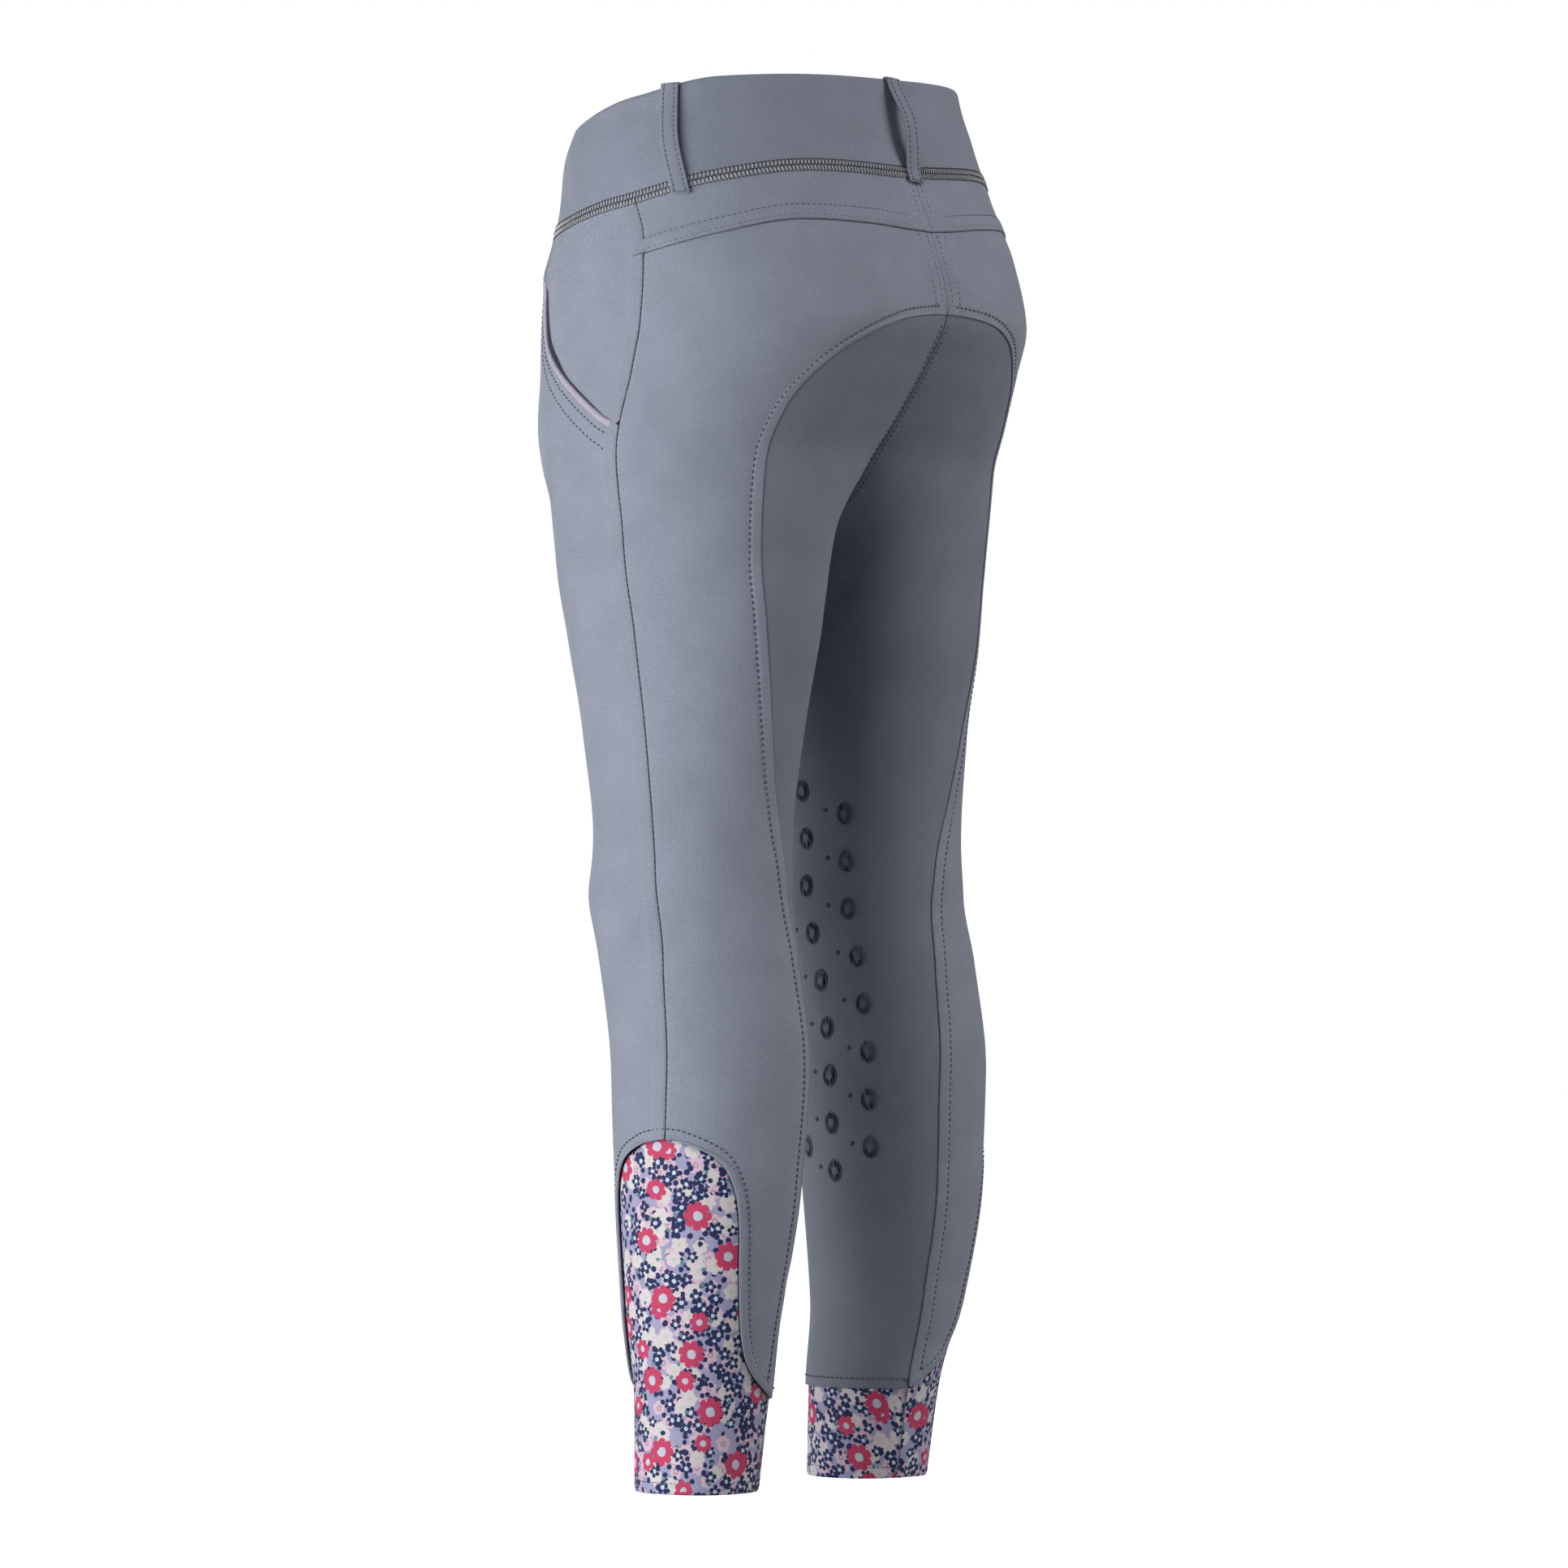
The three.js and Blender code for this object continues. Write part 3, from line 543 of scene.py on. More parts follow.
outer_cloth = cloth_material("outer_cloth_blue_grey", OUTER_BLUE_GREY)
seat_cloth = cloth_material("seat_cloth_dark_grey", SEAT_GREY, cloudiness=0.26, sheen=0.08)
band_cloth = cloth_material("band_cloth_grey", BAND_GREY, rib_mm=0.9)
loop_cloth = cloth_material("loop_cloth_grey", BAND_GREY, rib_mm=0.9, cloudiness=0.14)
piping_cloth = cloth_material("piping_lilac", PIPING_LILAC, rib_mm=0.8, sheen=0.2, roughness=0.6)
thread = plain_material("sewing_thread_grey", THREAD_GREY)
shaded_pale_thread = plain_material("pale_thread_with_painted_shade", PALE_THREAD_PAINTED_SHADE)
flat_seam_thread = plain_material("flat_seam_thread", FLAT_SEAM_THREAD)
needle_thread_with_hole_shade = plain_material("needle_thread_painted_hole_shade", NEEDLE_THREAD_AND_HOLE_SHADE)
print("materials so far:", len(bpy.data.materials))

# %% [markdown]
# A cloth piece is a grid, as cloth is: rows across it, columns down it. An operator makes the flat
# grid, and each of its points is then moved to its place on the body, between the piece's two edge
# lines. Columns lie closer together near the edges, where the cloth is turned under and sewn down, so
# that the turned edge, the ridge of the seam allowance and the dip of a stitch row are real relief.
# A Solidify modifier gives the cloth its thickness inwards.

# %% Cloth pieces from a grid
CLOTH = 1.15
COLUMN_OFFSETS = np.array([0.0, 0.35, 0.8, 1.5, 2.6, 4.0, 5.1, 5.9, 6.6, 7.6])
COLUMN_STEP = 2.8


def roll(distance, depth=0.38, width=0.7):
    """The cloth turned down into a seam."""
    return -depth * np.exp(-((distance / width) ** 2))


def allowance(distance, width=5.8, height=0.45):
    """The raised band over a seam allowance, with the dip of the stitch row along its edge."""
    return height * (1 - fade(distance, width - 0.9, width + 1.1)) - 0.22 * np.exp(-(((distance - width) / 0.7) ** 2))


def grid_object(name, points, uv, material, thickness=CLOTH, closed=False, half=1):
    """A grid made by an operator and moved onto an array of points, rows by columns, in metres."""
    rows, columns = points.shape[:2]
    bm = bmesh.new()
    bmesh.ops.create_grid(bm, x_segments=columns - 1, y_segments=rows - 1, size=0.5)
    mesh = bpy.data.meshes.new(name)
    for vert in bm.verts:
        i = int(round((0.5 - vert.co.y) * (rows - 1)))
        j = int(round((vert.co.x + 0.5) * (columns - 1)))
        vert.index = i * columns + j
    bm.verts.sort()
    layer = bm.loops.layers.uv.new("cloth_mm")
    for face in bm.faces:
        face.smooth = True
        for loop in face.loops:
            loop[layer].uv = uv[divmod(loop.vert.index, columns)]
    for vert in bm.verts:
        vert.co = points[divmod(vert.index, columns)]
    if closed:
        bmesh.ops.remove_doubles(bm, verts=bm.verts, dist=1e-6)
    if half < 0:
        bmesh.ops.reverse_faces(bm, faces=bm.faces)
    bm.to_mesh(mesh)
    bm.free()
    piece = bpy.data.objects.new(name, mesh)
    bpy.context.scene.collection.objects.link(piece)
    mesh.materials.append(material)
    if thickness:
        wall = piece.modifiers.new("thickness", "SOLIDIFY")
        wall.thickness = thickness * MM
        wall.offset = -1.0
    return piece


def cloth_map(nodes):
    """Millimetres along and down the cloth for each node."""
    return np.stack([np.radians(nodes[..., 0] - 99) * GIRTH(nodes[..., 1]), nodes[..., 1]], -1)


def strip_nodes(first, second):
    """Nodes between two edge lines, rows by columns, and the distance of each from both edges."""
    shares = np.linspace(0, 1, 9)[:, None, None]
    across = body_point(*np.moveaxis(first + (second - first) * shares, -1, 0), 1)
    width = np.maximum(np.linalg.norm(np.diff(across, axis=0), axis=-1).sum(0), 0.01)
    offsets = COLUMN_OFFSETS
    room = width.max() - 2 * offsets[-1]
    if room < 6:
        offsets = offsets[:5]
        room = max(width.max() - 2 * offsets[-1], 1.0)
    middle = np.linspace(0, 1, max(3, int(room / COLUMN_STEP)))[1:-1]
    edge = np.minimum(offsets[None, :], width[:, None] * 0.42 * offsets / offsets[-1])
    inner = edge[:, -1:] + (width[:, None] - 2 * edge[:, -1:]) * middle
    distance = np.concatenate([edge, inner, width[:, None] - edge[:, ::-1]], 1)
    share = distance / width[:, None]
    return first[:, None] + (second - first)[:, None] * share[..., None], distance, width[:, None] - distance


def snapped(nodes, level, first_level, line):
    """The top row laid on a line round the body, and the rows under it eased towards it."""
    reach = np.clip(1 - (level - first_level), 0, 1)[:, None]
    off = line(nodes[0, :, 0]) - nodes[0, :, 1]
    nodes = nodes.copy()
    nodes[..., 1] += off[None, :] * reach
    return nodes


made = {}


def add_cloth(name, node, half, nodes, lift, material, area, thickness=CLOTH):
    """One finished cloth piece, declared to the frame."""
    points = cloth_point(nodes, half, lift)
    piece = grid_object(name, points, cloth_map(nodes), material, thickness, half=half)
    return declare_cloth(piece, node, area)


def declare_cloth(piece, node, area):
    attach(piece, "root")
    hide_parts(node)
    made[piece.name] = piece
    print(piece.name, "area:", round(sum(face.area for face in piece.data.polygons), 5), "declared:", area)
    return piece


# %% [markdown]
# The back of a leg runs from the yoke to the calf insert. Along the seat seam it lies on top: its
# edge is turned and sewn down as a raised band. The seat piece is the darker cloth under it, which
# wraps the inside of the leg as far as the front's inner seam. The front piece has the pocket's
# mouth cut out of its upper corner.

# %% Back, seat and front of both legs
PIPING_SHOWS = 1.2

BACK_FLAT, BACK_AREA = (0.150, 0.58), 0.0465
SEAT_FLAT, SEAT_AREA = (0.175, 0.54), 0.0625
FRONT_FLAT, FRONT_AREA = (0.175, 0.60), 0.0745


def back_edge_lift(level, distance):
    """Centre back above the apex, then the raised band along the seat."""
    seam = allowance(distance, 6.4, 0.70)
    centre = allowance(distance, 8.2, 0.50)
    return np.where(level < APEX_LEVEL - 0.2, centre, seam)


def front_edge_lift(level, distance):
    """Pocket mouth, side seam and turned edge over the calf insert."""
    pocket = allowance(distance, 2.4, 0.5) * fade(level, 0.0, 0.9)
    side = allowance(distance, 7.4, 0.60)
    arch = allowance(distance, 5.4, 0.80)
    return np.where(level < HIP, pocket, np.where(level < LEG, side, arch))


back_levels = ladder(YOKE_LEVEL, CUFF_LEVEL, 6)[:-2]
seat_levels = ladder(APEX_LEVEL, CUFF_LEVEL, 6)
front_levels = ladder(0, CUFF_LEVEL, 6)

side_and_arch = np.where((back_levels <= LEG)[:, None], side_edge(back_levels), arch_edge(ARCH_REAR, back_levels))
back_nodes, back_from_side, back_from_seat = strip_nodes(side_and_arch, seat_edge(back_levels))
back_nodes = snapped(back_nodes, back_levels, YOKE_LEVEL, YOKE_FOLD)
back_level = back_levels[:, None]
arch_rear_lift = np.where(back_level > LEG, allowance(back_from_side, 5.4, 0.80), 0.0)
back_lift = (roll(back_from_side) + roll(back_from_seat, 0.22, 0.5) + arch_rear_lift
             + back_edge_lift(back_level, back_from_seat) - 0.25 * (1 - fade(back_level, 1.05, 1.3)))

seat_first, seat_second = seat_edge(seat_levels), centre_back_edge(seat_levels)
seat_first[0] = seat_first[0] * 0.5 + seat_first[1] * 0.5
seat_second[0] = seat_second[0] * 0.5 + seat_second[1] * 0.5
seat_nodes, seat_from_edge, seat_from_inner = strip_nodes(seat_first, seat_second)
seat_lift = roll(seat_from_edge, 0.22, 0.6) + roll(seat_from_inner, 0.45) + allowance(seat_from_inner, 4.2, 0.25)

front_second = np.where((front_levels <= HIP)[:, None], pocket_edge(front_levels, PIPING_SHOWS, POCKET_FOOT),
                        np.where((front_levels <= LEG)[:, None], side_edge(front_levels),
                                 arch_edge(ARCH_FRONT, np.maximum(front_levels, LEG))))
front_nodes, front_from_centre, front_from_side = strip_nodes(centre_front_edge(front_levels), front_second)
front_nodes = snapped(front_nodes, front_levels, 0, WAIST_SEAM)
front_lift = (roll(front_from_centre) + allowance(front_from_centre, 5.0, 0.25) + roll(front_from_side)
              + front_edge_lift(front_levels[:, None], front_from_side))

for label, half in HALVES:
    add_cloth(f"back_leg_{label}", f"back_{label}", half, back_nodes, back_lift, outer_cloth,
              BACK_AREA)
    add_cloth(f"full_seat_{label}", f"seat_{label}", half, seat_nodes, seat_lift, seat_cloth,
              SEAT_AREA)
    add_cloth(f"front_leg_{label}", f"front_{label}", half, front_nodes, front_lift, outer_cloth,
              FRONT_AREA)
print("back, seat and front grids:", back_nodes.shape[:2], seat_nodes.shape[:2], front_nodes.shape[:2])
print("narrowest rows:", [[(round(float(v), 1), int(i)) for i, v in sorted(enumerate((d + e)[:, 0]), key=lambda p: p[1])[:3]]
                          for d, e in ((back_from_side, back_from_seat), (seat_from_edge, seat_from_inner))])

# %% [markdown]
# The yoke is a shallow band under the waist whose lower edge is folded under and topstitched, so it
# stands a little proud of the back. The side front is the piece that shows inside the pocket's mouth,
# and it lies deeper than the piped edge in front of it.

# %% Yoke, side front and pocket piping
YOKE_FLAT, YOKE_AREA = (0.155, 0.042), 0.0053
SIDE_FRONT_FLAT, SIDE_FRONT_AREA = (0.095, 0.125), 0.0079
PIPING_FLAT, PIPING_AREA = (0.010, 0.145), 0.00088

yoke_share = np.concatenate([END_STEPS, np.linspace(0.22, 0.66, 9), [0.72, 0.77, 0.82, 0.87, 0.91, 0.95, 0.975, 1.0]])
yoke_angle = nodes_of(np.full(len(yoke_share), 95.0), yoke_share)
first_angle, last_angle = np.full(len(yoke_share), 95.0), np.full(len(yoke_share), 181.0)
across = np.linspace(0, 1, 60)
angle = first_angle[:, None] + (last_angle - first_angle)[:, None] * across
TAIL = 5.5
for _ in range(4):
    height = WAIST_SEAM(angle) + (YOKE_FOLD(angle) - WAIST_SEAM(angle)) * yoke_share[:, None]
    on_fold = 1 - fade(height[:, 0] - YOKE_FOLD(angle[:, 0]), 1.0, 6.0)
    first_angle = SIDE_SEAM(height[:, 0]) - np.degrees(TAIL * on_fold / 112)
    last_angle = centre_back(height[:, -1])
    yoke_nodes, yoke_from_side, yoke_from_centre = strip_nodes(nodes_of(first_angle, height[:, 0]),
                                                               nodes_of(last_angle, height[:, -1]))
    angle = yoke_nodes[..., 0]
yoke_nodes[..., 1] = WAIST_SEAM(angle) + (YOKE_FOLD(angle) - WAIST_SEAM(angle)) * yoke_share[:, None]
above_fold = yoke_nodes[..., 1] - YOKE_FOLD(angle)
tail_lift = 1.05 * on_fold[:, None] * (1 - fade(yoke_from_side, TAIL, TAIL + 2.5))
yoke_lift = (roll(yoke_from_side) + tail_lift + roll(yoke_from_centre)
             + allowance(yoke_from_centre, 8.2, 0.50) * fade(yoke_share, 0.05, 0.25)[:, None]
             + 0.85 * (1 - fade(above_fold, 7.2, 9.0)) - 0.2 * np.exp(-(((above_fold - 8.0) / 0.8) ** 2))
             - 0.2 * np.exp(-(((above_fold - 2.1) / 0.8) ** 2)) + roll(above_fold, 0.30, 0.5))

pocket_levels = ladder(0, HIP, 8)
side_front_first = pocket_edge(pocket_levels, -2.3, POCKET_FOOT + 5, 0.85)
last_rise = np.clip(pocket_levels - 9, 0, 1) * (POCKET_FOOT + 7.5 - float(side_height(9)))
side_front_height = np.where(pocket_levels > 9, float(side_height(9)) + last_rise, side_height(pocket_levels))
side_front_second = nodes_of(SIDE_SEAM(side_front_height), side_front_height)
side_front_nodes, from_mouth, side_front_from_side = strip_nodes(side_front_first, side_front_second)
side_front_nodes = snapped(side_front_nodes, pocket_levels, 0, WAIST_SEAM)
mouth_depth = fade(pocket_levels, 1.6, 2.5) * (1 - fade(pocket_levels, 7.5, 10.0))
mouth_depth *= 1.6 + 3.2 * (1 - fade(pocket_levels, 3.2, 6.5))
side_front_lift = (roll(side_front_from_side)
                   + allowance(side_front_from_side, 7.4, 0.60) * fade(pocket_levels, 0.0, 0.9)[:, None]
                   - np.exp(-((from_mouth / 4.2) ** 2)) * mouth_depth[:, None])

piping_front = pocket_edge(pocket_levels, PIPING_SHOWS + 0.5, POCKET_FOOT)
piping_back = pocket_edge(pocket_levels, -2.2, POCKET_FOOT + 4.8)
piping_share = np.linspace(0, 1, 11)
piping_nodes = piping_front[:, None] + (piping_back - piping_front)[:, None] * piping_share[:, None]
piping_nodes = snapped(piping_nodes, pocket_levels, 0, WAIST_SEAM)
round_lift = 1.5 * np.sqrt(np.clip(1 - (2 * piping_share - 1) ** 2, 0, 1)) - 0.5
piping_to_seam = np.radians(SIDE_SEAM(piping_nodes[..., 1]) - piping_nodes[..., 0]) * 118
under_waist = WAIST_SEAM(piping_nodes[..., 0]) - piping_nodes[..., 1]
covered = np.maximum(1 - fade(piping_to_seam, 8.4, 9.0), 1 - fade(under_waist, 24.0, 27.0))
covered = np.broadcast_to(covered[:, 5:6], piping_nodes.shape[:2])
piping_lift = round_lift + (0.45 - round_lift) * covered

for label, half in HALVES:
    add_cloth(f"yoke_{label}_cloth", f"yoke_{label}", half, yoke_nodes, yoke_lift, outer_cloth,
              YOKE_AREA)
    add_cloth(f"side_front_{label}_cloth", f"side_front_{label}", half, side_front_nodes, side_front_lift,
              outer_cloth, SIDE_FRONT_AREA)
    piping = add_cloth(f"piping_{label}", f"pocket_piping_{label}", half, piping_nodes, piping_lift, piping_cloth,
                       PIPING_AREA, thickness=0.9)
    piping.data.materials.append(outer_cloth)
    for face in piping.data.polygons:
        row, column = divmod(min(face.vertices), piping_nodes.shape[1])
        face.material_index = int(covered[row, column] > 0.5)

# %% [markdown]
# The waistband is one wide stretch band that closes round the waist, folded double at its top edge.
# Under it the flat seam joins it to the breeches.

# %% Waistband
BAND_CLOTH = 2.3

turn_share = np.linspace(0, 1, 241)
band_angle = np.where(turn_share <= 0.5, 360 * turn_share, 360 - 360 * turn_share)
band_share = np.concatenate([[0, 0.012, 0.03, 0.055], np.linspace(0.09, 0.95, 18), [0.975, 1.0]])


def ring_nodes(line_above, line_below, share):
    angle = np.broadcast_to(band_angle, (len(share), len(band_angle)))
    above, below = line_above(angle), line_below(angle)
    return nodes_of(angle, above + (below - above) * share[:, None])


def ring_points(nodes, lift):
    """Points round the whole body: the left half, then the right one backwards."""
    left, right = cloth_point(nodes, 1, lift), cloth_point(nodes, -1, lift)
    points = np.where((turn_share <= 0.5)[None, :, None], left, right)
    points[:, -1] = points[:, 0]
    return points


def ring_map(nodes):
    along = np.where(turn_share <= 0.5, nodes[..., 0], 360 - nodes[..., 0])
    return np.stack([np.radians(along) * 105, nodes[..., 1]], -1)


band_nodes = ring_nodes(TOP_EDGE, WAIST_SEAM, band_share)
from_top = TOP_EDGE(band_nodes[..., 0]) - band_nodes[..., 1]
from_seam = band_nodes[..., 1] - WAIST_SEAM(band_nodes[..., 0])
band_lift = roll(from_top, 0.8, 1.0) + roll(from_seam, 0.4, 1.2)
band = grid_object("waistband_cloth", ring_points(band_nodes, band_lift), ring_map(band_nodes), band_cloth,
                   BAND_CLOTH, closed=True)
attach(band, "root")
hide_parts("waistband")
print("waistband points:", len(band.data.vertices))

# %% [markdown]
# The calf insert and the ankle cuff are one piece of printed cloth, let in behind the turned edge of
# the grey cloth. Its grid runs round the ankle from the back seam, climbs over the arch of the insert
# and comes back, and all its columns end at the hem.

# %% Printed calf inserts with their cuffs
CUFF_FLAT, CUFF_AREA = (0.225, 0.180), 0.0196
CUFF_DEPTH = 1.5
CUFF_CLOTH = 0.9

ring_start, ring_end = ARCH_REAR[-1][0] - 360, ARCH_FRONT[-1][0]
ring_angles = np.linspace(ring_start, ring_end, 46)
arch_levels = np.linspace(LEG, CUFF_LEVEL, 61)
over_arch = np.vstack([arch_edge(ARCH_FRONT, arch_levels)[::-1][1:], arch_edge(ARCH_REAR, arch_levels)[1:]])
cuff_top = np.vstack([nodes_of(ring_angles, CUFF_SEAM), over_arch])
hem_angles = np.concatenate([ring_angles, np.linspace(ring_end, ARCH_REAR[-1][0], len(over_arch) + 1)[1:]])
cuff_bottom = nodes_of(hem_angles, HEM)
cuff_share = np.concatenate([np.linspace(0, 0.92, 44), [0.95, 0.97, 0.985, 0.995, 1.0]])
cuff_nodes = cuff_top[None] + (cuff_bottom - cuff_top)[None] * cuff_share[:, None, None]
above_hem = cuff_nodes[..., 1] - HEM
cuff_wave = 0.35 * np.sin(np.radians(cuff_nodes[..., 0] * 3 + 40)) * (1 - fade(above_hem, 0, 60))
cuff_lift = (-CUFF_DEPTH + roll(above_hem, 0.7, 1.0) - 0.25 * np.exp(-(((above_hem - 6.0) / 0.8) ** 2)) + cuff_wave)
print("cuff grid:", cuff_nodes.shape[:2])

# %% [markdown]
# The print is a dense small-flower pattern of the common kind: crimson flowers with pale centres over
# cream and pale pink blossoms, with tiny navy flowers and dots on a lavender ground. It is drawn by
# the shader. A cell texture scatters the places, and one group turns the way to the nearest place
# into a flower with any number of petals, so that each kind of flower is one row of a table. The
# layout is the shader's own.


# %% A flower, as a shader group
def make_flower_group():
    group, given, result = new_group(
        "scattered flowers",
        [("Position", "Vector", None), ("Shift", "Vector", None), ("Turn", "Float", 0.0), ("Spacing mm", "Float", 30.0),
         ("Scatter", "Float", 0.4), ("Presence", "Float", 1.0), ("Radius mm", "Float", 7.0), ("Petals", "Float", 8.0),
         ("Notch", "Float", 0.25), ("Centre mm", "Float", 2.0)],
        [("Flower", "Float"), ("Centre", "Float"), ("Star", "Float")],
    )
    link = group.links.new
    turned = add_node(group, "ShaderNodeVectorRotate", rotation_type="Z_AXIS")
    link(given["Position"], turned.inputs["Vector"])
    link(given["Turn"], turned.inputs["Angle"])
    scaled = add_node(group, "ShaderNodeVectorMath", operation="SCALE")
    link(turned.outputs[0], scaled.inputs[0])
    link(maths(group, "DIVIDE", 1.0, given["Spacing mm"]), scaled.inputs["Scale"])
    placed = add_node(group, "ShaderNodeVectorMath", operation="ADD")
    link(scaled.outputs[0], placed.inputs[0])
    link(given["Shift"], placed.inputs[1])
    cells = add_node(group, "ShaderNodeTexVoronoi", {"Scale": 1.0}, voronoi_dimensions="2D", feature="F1")
    link(placed.outputs[0], cells.inputs["Vector"])
    link(given["Scatter"], cells.inputs["Randomness"])
    from_centre = add_node(group, "ShaderNodeVectorMath", operation="SUBTRACT")
    link(placed.outputs[0], from_centre.inputs[0])
    link(cells.outputs["Position"], from_centre.inputs[1])
    part = add_node(group, "ShaderNodeSeparateXYZ")
    link(from_centre.outputs[0], part.inputs[0])
    chance = add_node(group, "ShaderNodeSeparateColor")
    link(cells.outputs["Color"], chance.inputs[0])
    squares = maths(group, "ADD", maths(group, "MULTIPLY", part.outputs["X"], part.outputs["X"]),
                    maths(group, "MULTIPLY", part.outputs["Y"], part.outputs["Y"]))
    distance = maths(group, "MULTIPLY", maths(group, "SQRT", squares), given["Spacing mm"])
    angle = maths(group, "ARCTAN2", part.outputs["Y"], part.outputs["X"])
    angle = maths(group, "MULTIPLY_ADD", chance.outputs[1], 6.28, angle)
    wave = maths(group, "ABSOLUTE", maths(group, "COSINE", maths(group, "MULTIPLY", angle, maths(
        group, "MULTIPLY", given["Petals"], 0.5))))
    petal = maths(group, "SQRT", wave)
    notch = maths(group, "MULTIPLY", given["Notch"], maths(group, "SUBTRACT", 1.0, petal))
    size = maths(group, "MULTIPLY", given["Radius mm"], maths(group, "MULTIPLY_ADD", chance.outputs[2], 0.22, 0.80))
    edge = maths(group, "MULTIPLY", size, maths(group, "SUBTRACT", 1.0, notch))
    is_here = maths(group, "LESS_THAN", chance.outputs[0], given["Presence"])
    soft = 4.0
    inside = maths(group, "MULTIPLY_ADD", maths(group, "SUBTRACT", edge, distance), soft, 0.5, clamp=True)
    link(maths(group, "MULTIPLY", inside, is_here), result["Flower"])
    middle = maths(group, "MULTIPLY_ADD", maths(group, "SUBTRACT", given["Centre mm"], distance), soft, 0.5, clamp=True)
    link(maths(group, "MULTIPLY", middle, is_here), result["Centre"])
    star_wave = maths(group, "COSINE", maths(group, "MULTIPLY", angle, 5.0))
    star_edge = maths(group, "MULTIPLY", given["Centre mm"], maths(group, "MULTIPLY_ADD", star_wave, 0.22, 0.8))
    star_gap = maths(group, "ABSOLUTE", maths(group, "SUBTRACT", distance, star_edge))
    star = maths(group, "MULTIPLY_ADD", maths(group, "SUBTRACT", 0.20, star_gap), 7.0, 0.5, clamp=True)
    link(maths(group, "MULTIPLY", star, is_here), result["Star"])
    return group


FLOWER = make_flower_group()

# %% Printed cloth
LAVENDER = srgb(168, 162, 197)
LAVENDER_BLUE = srgb(158, 160, 191)
CRIMSON = srgb(198, 66, 105)
FLOWER_EYE = srgb(198, 202, 216)
CREAM = srgb(216, 209, 212)
CREAM_EYE = srgb(198, 206, 194)
BLUSH = srgb(216, 188, 206)
STAR_LINE = srgb(96, 104, 96)
NAVY = srgb(36, 45, 90)
NAVY_EYE = srgb(200, 214, 228)
TEAL = srgb(96, 140, 146)

PRINT_LAYERS = (
    # petals' colour, centre's colour, what the centre shows, shift, turn, spacing, scatter, presence,
    # radius, petals, notch, centre radius
    (BLUSH, STAR_LINE, "Star", (0.4, 2.3, 0), 0.9, 9.4, 0.20, 0.50, 4.5, 5, 0.26, 1.5),
    (BLUSH, STAR_LINE, "Star", (8.2, 5.1, 0), 2.2, 9.8, 0.20, 0.38, 4.4, 5, 0.26, 1.5),
    (NAVY, NAVY, "Flower", (1.9, 4.4, 0), 1.4, 4.4, 0.55, 0.40, 1.55, 2, 0.05, 0.0),
    (NAVY, NAVY, "Flower", (6.3, 0.6, 0), 0.5, 5.2, 0.60, 0.42, 1.65, 2, 0.05, 0.0),
    (CREAM, CREAM_EYE, "Centre", (5.6, 1.2, 0), 0.2, 11.4, 0.22, 0.46, 5.0, 6, 0.30, 1.1),
    (CREAM, CREAM_EYE, "Centre", (2.5, 9.4, 0), 1.7, 12.0, 0.22, 0.38, 4.9, 7, 0.28, 1.1),
    (NAVY, NAVY_EYE, "Centre", (4.7, 3.8, 0), 2.6, 8.4, 0.30, 0.40, 3.8, 5, 0.66, 1.15),
    (NAVY, NAVY_EYE, "Centre", (9.1, 6.6, 0), 0.7, 9.0, 0.30, 0.36, 3.7, 5, 0.66, 1.10),
    (NAVY, NAVY, "Flower", (3.3, 8.6, 0), 1.9, 6.6, 0.60, 0.26, 1.60, 2, 0.05, 0.0),
    (TEAL, TEAL, "Flower", (3.1, 7.7, 0), 0.3, 12.0, 0.75, 0.45, 1.3, 5, 0.30, 0.0),
    (CRIMSON, FLOWER_EYE, "Centre", (2.2, 0.9, 0), 0.4, 26.0, 0.38, 0.60, 5.9, 7, 0.34, 1.7),
    (CRIMSON, FLOWER_EYE, "Centre", (7.4, 3.3, 0), 1.1, 34.0, 0.40, 0.85, 7.7, 8, 0.32, 2.5),
)


